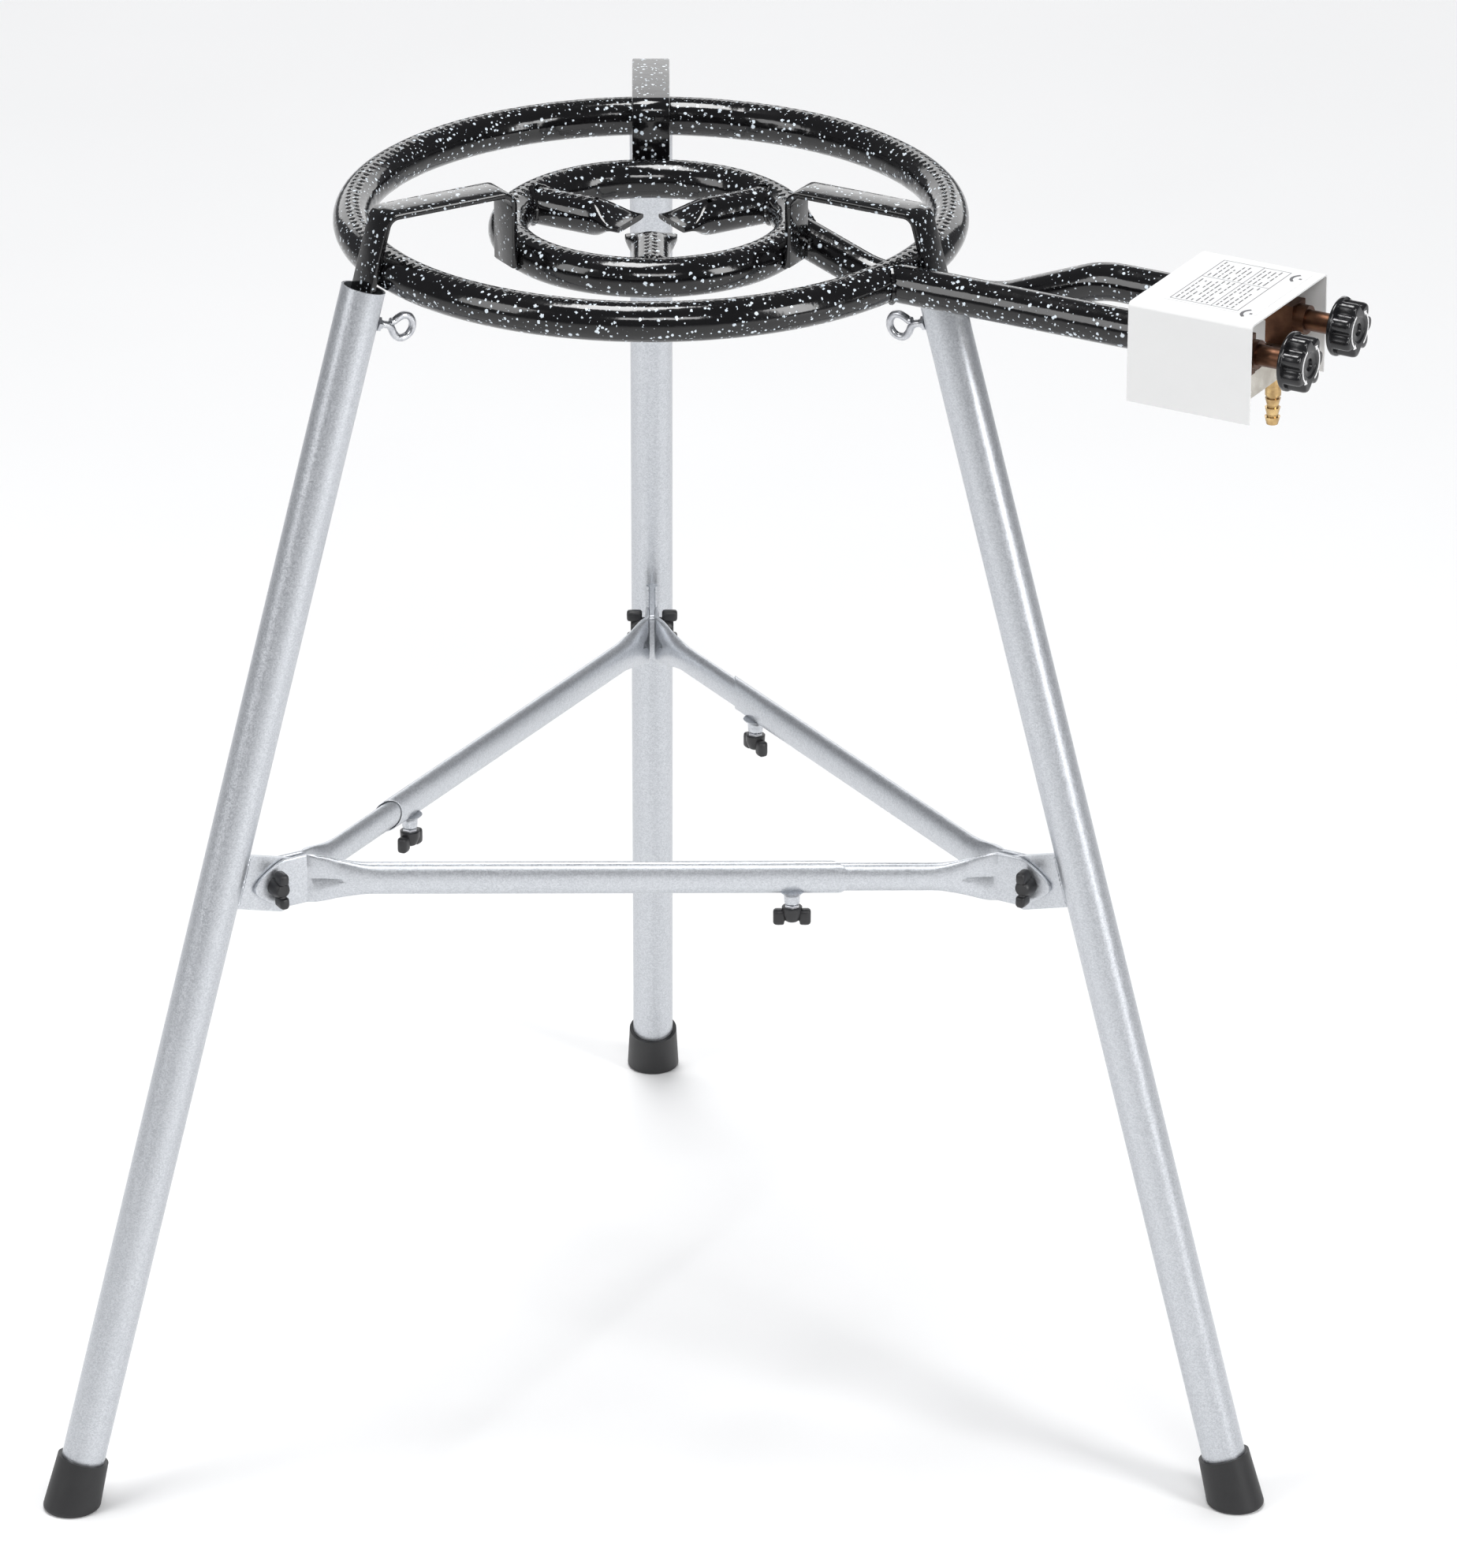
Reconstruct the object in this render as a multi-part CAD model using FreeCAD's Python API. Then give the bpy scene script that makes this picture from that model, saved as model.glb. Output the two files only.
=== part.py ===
import FreeCAD, Part
import math
import os
from FreeCAD import Vector, Rotation, Placement

os.makedirs("parts", exist_ok=True)

# Two-ring gas burner for wide pans, hung on a telescopic-braced tripod. Millimetres, +Z up.
# It is drawn round the rings' axis, with the control end along azimuth -30, and at the end every
# piece is moved so that the origin is on the floor in the middle of the whole object's footprint.

# Burner rings, all bent from one size of thin steel tube
tube_r = 12.5
tube_wall = 1.5
feed_r = 12.0
outer_ring_r = 187.5
outer_ring_z = 803.0
inner_ring_r = 90.0
inner_ring_z = 795.0
spur_tip_r = 15.0
spur_tip_wide = 33.0
spur_tip_thick = 4.0
spur_pinch = 26.0

# Pan supports: three bent flat bars
bar_wide = 24.0
bar_thick = 4.0
bar_top_z = 842.0
bar_bend = 8.0
bar_insert = 52.0

# Legs: straight tube, leaning out all the way to the floor
lean = math.radians(16.0)
leg_r = 14.0
leg_wall = 1.5
leg_top_z = 793.5
cap_wall = 3.0
cap_high = 34.0
cap_sole = 7.0
clamp_down = 22.0

# Brace joints on the legs
tab_size = 36.0
tab_thick = 3.0
tab_from_axis = 38.0
bolt_z = 405.0
bolt_r = 3.0
face_gap = 0.1

# Telescopic braces
outer_r = 11.0
outer_wall = 1.2
inner_r = 9.5
inner_wall = 1.5
flat_thick = 3.0
flat_high = 33.0
flat_reach = 22.0
neck = 34.0
outer_len = 354.0
inner_start = 205.0
lock_from_end = 27.0

# Control end, measured along the control direction and sideways from it
control_az = -30.0
outer_feed_side = -29.0
inner_feed_side = 39.0
feed_end = 388.0
cover_start = 360.0
cover_end = 443.0
cover_side = 5.0
cover_wide = 104.0
cover_top_z = 828.0
cover_low_z = 764.0
sheet = 1.2
cover_bend = 3.0
rail_drop = 24.0
rail_size = 16.0
rail_at = 424.0
knob_back = 460.0
knob_front = 474.5
knob_r = 18.5
spindle_r = 4.0

legs = {"back": 90.0, "left": 210.0, "right": 330.0}
Z = Vector(0, 0, 1)


pieces = {}


def write(name, shape):
    pieces[name] = shape


def turned(shape, azimuth):
    """A copy of a shape drawn along +X, turned round the burner's axis."""
    copy = shape.copy()
    copy.rotate(Vector(0, 0, 0), Z, azimuth)
    return copy


def rod(start, end, radius):
    return Part.makeCylinder(radius, (end - start).Length, start, end - start)


def pipe(start, end, radius, wall):
    return rod(start, end, radius).cut(rod(start, end, radius - wall))


def box(low, high):
    size = high - low
    return Part.makeBox(size.x, size.y, size.z, low)


def oval(wide, thick, at, across, up):
    """A closed smooth outline: round when wide equals thick, flat like a pinched tube when not."""
    power = 2.0 + 2.2 * (1 - thick / wide)
    points = []
    for step in range(12):
        angle = math.tau * (step + 0.5) / 12
        c, s = math.cos(angle), math.sin(angle)
        x = math.copysign(abs(c) ** (2 / power), c) * wide / 2
        y = math.copysign(abs(s) ** (2 / power), s) * thick / 2
        points.append(at + across * x + up * y)
    curve = Part.BSplineCurve()
    curve.interpolate(points, PeriodicFlag=True)
    return Part.Wire(curve.toShape())


def swept_bar(outline, start_dir, wide_dir, wide, thick):
    """A flat bar that follows an outline wire, its wide side along wide_dir."""
    start = outline.Vertexes[0].Point
    side = start_dir.cross(wide_dir).normalize()
    corners = [start + wide_dir * (wide / 2 * a) + side * (thick / 2 * b)
               for a, b in ((1, 1), (-1, 1), (-1, -1), (1, -1), (1, 1))]
    profile = Part.Wire(Part.makePolygon(corners))
    return outline.makePipeShell([profile], True, False)


def rounded_path(points, radius):
    """Straight runs through the points, joined by tangent arcs."""
    edges = []
    here = points[0]
    for before, corner, after in zip(points, points[1:], points[2:]):
        u = (before - corner).normalize()
        v = (after - corner).normalize()
        half = u.getAngle(v) / 2
        reach = radius / math.tan(half)
        start, end = corner + u * reach, corner + v * reach
        middle = corner + (u + v).normalize() * (radius / math.sin(half) - radius)
        edges.append(Part.makeLine(here, start))
        edges.append(Part.Arc(start, middle, end).toShape())
        here = end
    edges.append(Part.makeLine(here, points[-1]))
    return Part.Wire(edges)


def tube_on(path, direction, radius):
    start = path.Vertexes[0].Point
    profile = Part.Wire(Part.makeCircle(radius, start, direction))
    return path.makePipeShell([profile], True, False)


def control(along, side, z):
    """A point given along and sideways from the control direction."""
    return Vector(along, side, z)


# Burner: rings, spurs and feed tubes share one gas way, so each hollow opens into the next

def feed_outer_path():
    meet = math.sqrt(outer_ring_r ** 2 - outer_feed_side ** 2)
    return control(meet, outer_feed_side, outer_ring_z), control(feed_end, outer_feed_side, outer_ring_z)


def feed_inner_path():
    meet = math.sqrt(inner_ring_r ** 2 - inner_feed_side ** 2)
    low_z = outer_ring_z - 2 * tube_r - 3.5
    points = [control(meet, inner_feed_side, inner_ring_z),
              control(meet + 58, inner_feed_side, low_z),
              control(outer_ring_r + 40, inner_feed_side, low_z),
              control(outer_ring_r + 112, inner_feed_side, outer_ring_z),
              control(feed_end, inner_feed_side, outer_ring_z)]
    return rounded_path(points, 70.0), points[1] - points[0]


def ring(radius, z, tube):
    return Part.makeTorus(radius, tube, Vector(0, 0, z))


outer_a, outer_b = feed_outer_path()
inner_path, inner_dir = feed_inner_path()
ring_bore = tube_r - tube_wall
feed_bore = feed_r - tube_wall
gasway_outer = turned(rod(outer_a, outer_b, feed_bore), control_az)
gasway_inner = turned(tube_on(inner_path, inner_dir, feed_bore), control_az)


def spur():
    """A blind tube from the inner ring toward the centre, its end pinched flat."""
    z = inner_ring_z
    pinch_x = spur_tip_r + spur_pinch
    tube = rod(Vector(inner_ring_r, 0, z), Vector(pinch_x, 0, z), feed_r)
    outlines = []
    plug = feed_r - tube_wall / 2
    for run, flat in ((-0.1, 0.0), (0.5, 0.45), (0.93, 1.0), (1.0, 1.0)):
        wide = (1 - flat) * 2 * plug + flat * spur_tip_wide
        thick = (1 - flat) * 2 * plug + flat * spur_tip_thick
        outlines.append(oval(wide, thick, Vector(pinch_x - spur_pinch * run, 0, z), Vector(0, 1, 0), Z))
    tube = tube.fuse(Part.makeLoft(outlines, True, False))
    tube = tube.cut(rod(Vector(inner_ring_r, 0, z), Vector(pinch_x, 0, z), feed_bore))
    return tube.cut(Part.makeCone(feed_bore, 0.5, spur_pinch * 0.75, Vector(pinch_x, 0, z), Vector(-1, 0, 0)))


spurs = [turned(spur(), azimuth + 180) for azimuth in legs.values()]

outer_ring = ring(outer_ring_r, outer_ring_z, tube_r).cut(ring(outer_ring_r, outer_ring_z, ring_bore))
write("outer_ring", outer_ring.cut(gasway_outer))

inner_ring = ring(inner_ring_r, inner_ring_z, tube_r).cut(ring(inner_ring_r, inner_ring_z, ring_bore))
inner_ring = inner_ring.cut(gasway_inner)
for azimuth in legs.values():
    hole = turned(rod(Vector(inner_ring_r, 0, inner_ring_z), Vector(60, 0, inner_ring_z), feed_bore), azimuth + 180)
    inner_ring = inner_ring.cut(hole)
write("inner_ring", inner_ring)

spur_solids = [one.cut(ring(inner_ring_r, inner_ring_z, tube_r)) for one in spurs]
write("burner_spurs", Part.makeCompound([max(one.Solids, key=lambda s: s.Volume) for one in spur_solids]))

outer_feed = turned(pipe(outer_a, outer_b, feed_r, tube_wall), control_az)
outer_feed = outer_feed.cut(ring(outer_ring_r, outer_ring_z, tube_r))
write("outer_feed_tube", max(outer_feed.Solids, key=lambda s: s.Volume))

inner_feed = turned(tube_on(inner_path, inner_dir, feed_r), control_az).cut(gasway_inner)
inner_feed = inner_feed.cut(ring(inner_ring_r, inner_ring_z, tube_r))
write("inner_feed_tube", max(inner_feed.Solids, key=lambda s: s.Volume))


# Pan supports: up outside the inner ring, out over both rings, down outside the outer ring

def leg_x(z):
    """Distance of a leg's axis from the centre at a height, set by the bar's fit on the outer ring."""
    reach = tube_r + bar_thick / 2
    line = outer_ring_r * math.cos(lean) + outer_ring_z * math.sin(lean) + reach
    return (line - z * math.sin(lean)) / math.cos(lean)


def pan_support():
    inner_x = inner_ring_r + tube_r + bar_thick / 2
    top = bar_top_z - bar_thick / 2
    points = [Vector(inner_x, 0, inner_ring_z - 4), Vector(inner_x, 0, top),
              Vector(leg_x(top), 0, top), Vector(leg_x(outer_ring_z - bar_insert), 0, outer_ring_z - bar_insert)]
    path = rounded_path(points, bar_bend)
    return swept_bar(path, Vector(0, 0, 1), Vector(0, 1, 0), bar_wide, bar_thick)


for name, azimuth in legs.items():
    write("pan_support_" + name, turned(pan_support(), azimuth))


# Control end: cover, gas rail, valves, injectors and knobs

def at_control(shape):
    return turned(shape, control_az)


def valve_cover():
    half = cover_wide / 2
    outside = box(control(cover_start, cover_side - half, cover_low_z),
                  control(cover_end, cover_side + half, cover_top_z))
    inside = box(control(cover_start - 1, cover_side - half + sheet, cover_low_z - 1),
                 control(cover_end + 1, cover_side + half - sheet, cover_top_z - sheet))
    long_top = [e for e in outside.Edges
                if e.BoundBox.ZMin > cover_top_z - 1 and e.BoundBox.XLength > 50]
    long_in = [e for e in inside.Edges
               if e.BoundBox.ZMin > cover_top_z - sheet - 1 and e.BoundBox.XLength > 50]
    return outside.makeFillet(cover_bend, long_top).cut(inside.makeFillet(cover_bend - sheet, long_in))


def cover_bracket():
    """Plate across both feed tubes with a turned-in flange along each cover wall."""
    half = cover_wide / 2 - sheet
    x = cover_start + 14
    low, high = outer_ring_z - 20, outer_ring_z + 20
    plate = box(control(x, cover_side - half, low), control(x + 1.5, cover_side + half, high))
    for end in (-1, 1):
        y = cover_side + end * half
        plate = plate.fuse(box(control(x, min(y, y - end * 1.5), low), control(x + 12, max(y, y - end * 1.5), high)))
    for side in (outer_feed_side, inner_feed_side):
        plate = plate.cut(rod(control(x - 5, side, outer_ring_z), control(x + 5, side, outer_ring_z), feed_r))
    return plate.removeSplitter()


rail_z = outer_ring_z - rail_drop
rail_low = cover_side - cover_wide / 2 + sheet + 4
rail_high = cover_side + cover_wide / 2 - sheet - 4


def gas_rail():
    half = rail_size / 2
    bar = box(control(rail_at - half, rail_low, rail_z - half), control(rail_at + half, rail_high, rail_z + half))
    bar = bar.cut(rod(control(rail_at, rail_low, rail_z), control(rail_at, rail_high - 8, rail_z), 4.0))
    for side in (outer_feed_side, inner_feed_side):
        bar = bar.cut(rod(control(rail_at, side, rail_z), control(rail_at, side, rail_z + 20), 4.0))
    inlet_side = inner_feed_side - 14
    return bar.cut(rod(control(rail_at, inlet_side, rail_z), control(rail_at, inlet_side, rail_z - 20), 4.0))


def gas_inlet():
    """Hose tail under the rail: shoulder, hexagon and three barbs."""
    x, y = rail_at, inner_feed_side - 14
    top = rail_z - rail_size / 2
    hexagon = [Vector(x + 9.8 * math.cos(math.radians(60 * k)), y + 9.8 * math.sin(math.radians(60 * k)), top - 7)
               for k in range(7)]
    body = Part.Face(Part.makePolygon(hexagon)).extrude(Vector(0, 0, 7))
    body = body.fuse(rod(control(x, y, top), control(x, y, top + 6), 4.0))
    body = body.fuse(rod(control(x, y, top - 34), control(x, y, top - 7), 3.6))
    body = body.fuse(rod(control(x, y, top - 15), control(x, y, top - 7), 5.0))
    for k in range(3):
        body = body.fuse(Part.makeCone(3.6, 4.8, 5, control(x, y, top - 34 + 6 * k)))
    return body.cut(rod(control(x, y, top - 40), control(x, y, top + 10), 2.2)).removeSplitter()


def valve_body(side):
    """Brass tap: square body, stem into the rail, stepped bonnet toward the knob."""
    z = outer_ring_z
    body = box(control(rail_at - 9, side - 9, z - rail_drop + rail_size / 2), control(rail_at + 9, side + 9, z + 10))
    body = body.fuse(rod(control(rail_at, side, rail_z + 1), control(rail_at, side, z), 4.0))
    body = body.fuse(rod(control(rail_at + 9, side, z), control(rail_at + 16, side, z), 9.0))
    body = body.fuse(rod(control(rail_at + 16, side, z), control(knob_back - 2, side, z), 6.5))
    body = body.fuse(rod(control(rail_at - 16, side, z), control(rail_at - 9, side, z), 5.5))
    body = body.cut(rod(control(rail_at - 2, side, z), control(knob_back, side, z), spindle_r + 0.05))
    body = body.cut(rod(control(rail_at - 20, side, z), control(rail_at - 2, side, z), 2.5))
    return body.cut(rod(control(rail_at, side, rail_z), control(rail_at, side, z), 2.0)).removeSplitter()


def injector(side):
    """Small brass jet on the front of the valve, with its tip just inside the feed tube."""
    z = outer_ring_z
    tip = Part.makeCone(5.0, 2.5, 8, control(rail_at - 26, side, z), Vector(-1, 0, 0))
    jet = rod(control(rail_at - 16, side, z), control(rail_at - 26, side, z), 5.0).fuse(tip)
    jet = jet.fuse(rod(control(rail_at - 10, side, z), control(rail_at - 16, side, z), 2.5))
    jet = jet.cut(rod(control(rail_at, side, z), control(rail_at - 30, side, z), 1.4))
    return jet.cut(rod(control(rail_at, side, z), control(rail_at - 40, side, z), 0.5)).removeSplitter()


def spindle(side):
    z = outer_ring_z
    stem = rod(control(rail_at + 1, side, z), control(knob_front - 8, side, z), spindle_r)
    flat = box(control(knob_back + 2, side - 5, z + 2.6), control(knob_front, side + 5, z + 6))
    hole = rod(control(rail_at, side, z - 5), control(rail_at, side, z + 5), 1.2)
    return stem.cut(flat).cut(hole)


def knob(side):
    """Seven-lobed knob with a round flange at the back and a D-shaped bore."""
    z = outer_ring_z
    centre = control(knob_back, side, z)
    points = []
    for step in range(84):
        angle = math.tau * step / 84
        radius = knob_r - 2.6 + 1.7 * math.cos(7 * angle)
        points.append(Vector(knob_back + 3, side + radius * math.cos(angle), z + radius * math.sin(angle)))
    curve = Part.BSplineCurve()
    curve.interpolate(points, PeriodicFlag=True)
    grip = Part.Face(Part.Wire(curve.toShape())).extrude(Vector(knob_front - knob_back - 3, 0, 0))
    body = Part.makeCylinder(knob_r, 3, centre, Vector(1, 0, 0)).fuse(grip)
    rim = [e for e in body.Edges if e.BoundBox.XMin > knob_front - 0.1]
    body = body.makeFillet(1.5, rim)
    bore_tool = rod(control(knob_back - 1, side, z), control(knob_front - 8, side, z), spindle_r)
    flat = box(control(knob_back + 2, side - 5, z + 2.6), control(knob_front, side + 5, z + 6))
    body = body.cut(bore_tool.cut(flat))
    dish = Part.makeCylinder(3.5, 1.5, control(knob_front - 1.5, side, z), Vector(1, 0, 0))
    return body.cut(dish).removeSplitter()


write("valve_cover", at_control(valve_cover()))
label_low = control(cover_start + 16, cover_side - 36, cover_top_z)
label_high = control(cover_end - 6, cover_side + 44, cover_top_z + 0.2)
write("cover_label", at_control(box(label_low, label_high)))
write("cover_bracket", at_control(cover_bracket()))
write("gas_rail", at_control(gas_rail()))
plug = rod(control(rail_at, rail_low - 3, rail_z), control(rail_at, rail_low, rail_z), 7.0)
plug = plug.fuse(rod(control(rail_at, rail_low, rail_z), control(rail_at, rail_low + 8, rail_z), 4.0))
write("rail_plug", at_control(plug))
write("gas_inlet", at_control(gas_inlet()))
for name, side in (("outer", outer_feed_side), ("inner", inner_feed_side)):
    write("valve_body_" + name, at_control(valve_body(side)))
    write("spindle_" + name, at_control(spindle(side)))
    write("knob_" + name, at_control(knob(side)))
jets = [at_control(injector(side)) for side in (outer_feed_side, inner_feed_side)]
write("injectors", Part.makeCompound(jets))


# Legs: tube, welded tab, clamp screw that holds the pan support's bar, rubber foot

down = Vector(math.sin(lean), 0, -math.cos(lean))
inward = Vector(-math.cos(lean), 0, -math.sin(lean))
leg_top = Vector(leg_x(leg_top_z), 0, leg_top_z)
leg_end = leg_top + down * ((leg_top_z - cap_sole) / math.cos(lean))
clamp_at = leg_top + down * clamp_down
tab_root = Vector(leg_x(bolt_z + tab_from_axis * math.sin(lean)), 0, bolt_z + tab_from_axis * math.sin(lean))
bolt_at = tab_root + inward * tab_from_axis
bolt_x = bolt_at.x


def leg_tube():
    tube = pipe(leg_top, leg_end, leg_r, leg_wall)
    return tube.cut(rod(clamp_at, clamp_at + inward * 20, bolt_r + 0.4))


def brace_tab():
    """Flat plate standing square on the leg's inner side, in the plane of the leg's lean."""
    plate = Part.makeBox(tab_size + 4, tab_thick, tab_size, Vector(leg_r - 3, -tab_thick / 2, -tab_size / 2))
    corners = [e for e in plate.Edges if e.BoundBox.YLength > tab_thick - 0.1 and e.BoundBox.XMin > leg_r + 10]
    plate = plate.makeFillet(4.0, corners)
    plate = plate.cut(Part.makeCylinder(bolt_r + 0.4, 10, Vector(tab_from_axis, -5, 0), Vector(0, 1, 0)))
    turn = Rotation(inward, Vector(0, -1, 0), inward.cross(Vector(0, -1, 0)), "XYZ")
    plate.Placement = Placement(tab_root, turn)
    return plate.cut(rod(leg_top, leg_end, leg_r))


def clamp_nut():
    start = clamp_at + inward * (leg_r - leg_wall - 5.5)
    block = Part.makeBox(5.5, 10, 10, Vector(0, -5, -5))
    block.Placement = Placement(start, Rotation(inward, Vector(0, -1, 0), inward.cross(Vector(0, -1, 0)), "XYZ"))
    block = block.common(rod(leg_top, leg_end, leg_r - leg_wall))
    return block.cut(rod(clamp_at, clamp_at + inward * 30, bolt_r + 0.05))


def eye_screw():
    """Threaded wire bent into a rounded triangular eye that serves as a finger grip."""
    wire = 2.5
    tip = clamp_at + inward * (bar_thick / 2 + 0.35)
    neck_end = clamp_at + inward * (leg_r + 8)
    shank = rod(tip, neck_end, bolt_r)
    up = inward.cross(Vector(0, 1, 0)).normalize()
    if up.z < 0:
        up = up * -1
    eye = 8.0
    centre = neck_end + inward * (eye + 4)
    points = []
    for angle in range(-150, 151, 30):
        a = math.radians(angle)
        points.append(centre + inward * (eye * math.cos(a)) + up * (eye * 0.95 * math.sin(a)))
    points = [neck_end - inward * 1] + points + [neck_end - inward * 1 - up * 0.01]
    curve = Part.BSplineCurve()
    curve.interpolate(points[1:-1])
    loop = Part.Wire(curve.toShape())
    start_dir = curve.tangent(curve.FirstParameter)[0]
    eye_wire = loop.makePipeShell([Part.Wire(Part.makeCircle(wire, points[1], start_dir))], True, False)
    joins = [rod(neck_end - inward * 1, points[k], wire) for k in (1, -2)]
    balls = [Part.makeSphere(wire, points[k]) for k in (1, -2)]
    return shank.multiFuse([eye_wire] + joins + balls).removeSplitter()


def foot_cap():
    """Moulded rubber cap, wider at the sole, cut level with the floor."""
    rim = leg_end - down * (cap_high - cap_sole)
    sole = leg_end + down * 20
    outside = Part.makeCone(leg_r + cap_wall - 0.4, leg_r + cap_wall + 1.8, (sole - rim).Length, rim, down)
    outside = outside.cut(box(Vector(300, -60, -60), Vector(560, 60, 0)))
    edges = [e for e in outside.Edges if e.BoundBox.ZMax < 0.5]
    outside = outside.makeFillet(2.5, edges)
    return outside.cut(rod(rim - down * 2, leg_end, leg_r))


# Braces: the outer tube is bolted to one leg and the inner tube to the next leg round

def brace_frame(start_side):
    """Bolt, bend point, and tube direction at one end, for a brace leaving along +Y or -Y."""
    offset = (tab_thick / 2 + face_gap + flat_thick / 2) * start_side
    bolt = Vector(bolt_x, offset, bolt_z)
    bend = Vector(bolt_x - flat_reach, offset, bolt_z)
    along = Vector(-math.cos(math.radians(30)), start_side * math.sin(math.radians(30)), 0)
    return bolt, bend, along


def brace_end(start_side, radius, wall, hole):
    """Pinched tongue with a pointed end, blending through the bend into the round tube."""
    bolt, bend, along = brace_frame(start_side)
    half = flat_high / 2
    y_low = bolt.y - flat_thick / 2
    point = Vector(bolt.x + 15, y_low, bolt.z)
    upper, lower = Vector(bend.x, y_low, bolt.z + half), Vector(bend.x, y_low, bolt.z - half)
    upper_in, lower_in = Vector(bolt.x - 4, y_low, bolt.z + half), Vector(bolt.x - 4, y_low, bolt.z - half)
    top_arc = Part.Arc(upper_in, Vector(bolt.x + 9, y_low, bolt.z + half * 0.62), point).toShape()
    low_arc = Part.Arc(point, Vector(bolt.x + 9, y_low, bolt.z - half * 0.62), lower_in).toShape()
    outline = Part.Wire([Part.makeLine(upper, upper_in), top_arc, low_arc,
                         Part.makeLine(lower_in, lower), Part.makeLine(lower, upper)])
    tongue = Part.Face(outline).extrude(Vector(0, flat_thick, 0))
    side = along.cross(Z)
    sections = [oval(flat_high + 1.5, flat_thick + 1.6, bend + Vector(2, 0, 0), Z, Vector(0, 1, 0))]
    plug = radius - wall / 2
    for share in (0.25, 0.7, 1.0):
        wide = (1 - share) * flat_high + share * 2 * plug
        thick = (1 - share) * flat_thick + share * 2 * plug
        sections.append(oval(wide, thick, bend + along * (neck * (0.1 + 0.9 * share)), Z, side))
    tongue = tongue.fuse(Part.makeLoft(sections, True, False))
    return tongue.cut(rod(Vector(bolt.x, bolt.y - 10, bolt.z), Vector(bolt.x, bolt.y + 10, bolt.z), hole))


bolt_pt, bend_pt, along_dir = brace_frame(1)
chord = math.sqrt(3) * bolt_x
outer_open = bend_pt + along_dir * (outer_len - flat_reach * math.cos(math.radians(30)))
lock_at = outer_open - along_dir * lock_from_end


def brace_outer():
    tube = pipe(bend_pt + along_dir * (neck - 1), outer_open, outer_r, outer_wall)
    body = brace_end(1, outer_r, outer_wall, bolt_r + 0.4).fuse(tube)
    return body.cut(rod(lock_at, lock_at - Z * 30, bolt_r + 0.4))


def brace_inner():
    """Drawn at the far leg, then brought to the leg where its outer tube starts."""
    bolt, bend, along = brace_frame(-1)
    end = bend + along * (chord - inner_start - flat_reach * math.cos(math.radians(30)))
    tube = pipe(bend + along * (neck - 1), end, inner_r, inner_wall)
    body = brace_end(-1, inner_r, inner_wall, bolt_r + 1.0).fuse(tube)
    return turned(body, 120)


def lock_boss():
    """Square nut welded under the outer tube's open end."""
    low = lock_at - Z * (outer_r + 7)
    block = Part.makeBox(14, 14, 9, Vector(-7, -7, 0))
    block.Placement = Placement(low, Rotation(along_dir, Z.cross(along_dir), Z, "XYZ"))
    block = block.cut(rod(lock_at - along_dir * 20, lock_at + along_dir * 20, outer_r))
    return block.cut(rod(lock_at, lock_at - Z * 30, bolt_r + 0.05))


def wing_grip(base, direction, wing_dir):
    """Butterfly grip: round hub and two flat wings that widen outward."""
    high = 12.5
    hub = rod(base, base + direction * high, 6.5)
    side = direction.cross(wing_dir)
    solid = hub
    for sign in (-1, 1):
        profile = [(0, -3.0, 1.5), (0, 3.0, 1.5), (12.0, 2.4, 4.0), (12.0, -2.4, 4.0)]
        foot = [base + wing_dir * (sign * a) + side * b + direction * c for a, b, c in profile]
        face = Part.Face(Part.makePolygon(foot + [foot[0]]))
        wing = face.extrude(direction * (high - 4.0))
        top = base + direction * high
        cutter = rod(top - direction * 40, top + direction * 2, 12.0)
        solid = solid.fuse(wing.common(cutter))
    return solid.removeSplitter()


def tab_pile():
    """Half of the stack at a tab: tab plate, running gap and one brace tongue."""
    return tab_thick / 2 + face_gap + flat_thick + 0.1


def tab_screw():
    end = tab_pile()
    return rod(Vector(bolt_x, -end - 9, bolt_z), Vector(bolt_x, end + 8, bolt_z), bolt_r)


def tab_wing_head():
    grip = wing_grip(Vector(bolt_x, tab_pile(), bolt_z), Vector(0, 1, 0), Z)
    return grip.cut(tab_screw())


def tab_wing_nut():
    grip = wing_grip(Vector(bolt_x, -tab_pile(), bolt_z), Vector(0, -1, 0), Z)
    end = tab_pile()
    return grip.cut(rod(Vector(bolt_x, -end - 10, bolt_z), Vector(bolt_x, 0, bolt_z), bolt_r + 0.05))


lock_tip = lock_at - Z * (inner_r + 0.35)
lock_base = lock_at - Z * (outer_r + 7 + 2.5)


def lock_screw():
    return rod(lock_tip, lock_base - Z * 7, bolt_r)


def lock_wing():
    return wing_grip(lock_base, Z * -1, along_dir).cut(lock_screw())


for name, azimuth in legs.items():
    write("leg_tube_" + name, turned(leg_tube(), azimuth))
    write("brace_tab_" + name, turned(brace_tab(), azimuth))
    write("clamp_nut_" + name, turned(clamp_nut(), azimuth))
    write("eye_screw_" + name, turned(eye_screw(), azimuth))
    write("foot_cap_" + name, turned(foot_cap(), azimuth))
    write("tab_screw_" + name, turned(tab_screw(), azimuth))
    write("tab_wing_head_" + name, turned(tab_wing_head(), azimuth))
    write("tab_wing_nut_" + name, turned(tab_wing_nut(), azimuth))
    write("brace_outer_" + name, turned(brace_outer(), azimuth))
    write("brace_inner_" + name, turned(brace_inner(), azimuth))
    write("lock_boss_" + name, turned(lock_boss(), azimuth))
    write("lock_screw_" + name, turned(lock_screw(), azimuth))
    write("lock_wing_" + name, turned(lock_wing(), azimuth))

# The origin goes to the middle of the footprint, then each piece goes to its own file

boxes = [shape.optimalBoundingBox(False) for shape in pieces.values()]
middle = Vector((min(b.XMin for b in boxes) + max(b.XMax for b in boxes)) / 2,
                (min(b.YMin for b in boxes) + max(b.YMax for b in boxes)) / 2, 0)
for name, shape in pieces.items():
    shape.translate(middle * -1)
    shape.exportStep("parts/" + name + ".step")
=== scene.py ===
import bpy
import bmesh
import math
from mathutils import Matrix, Vector


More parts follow.
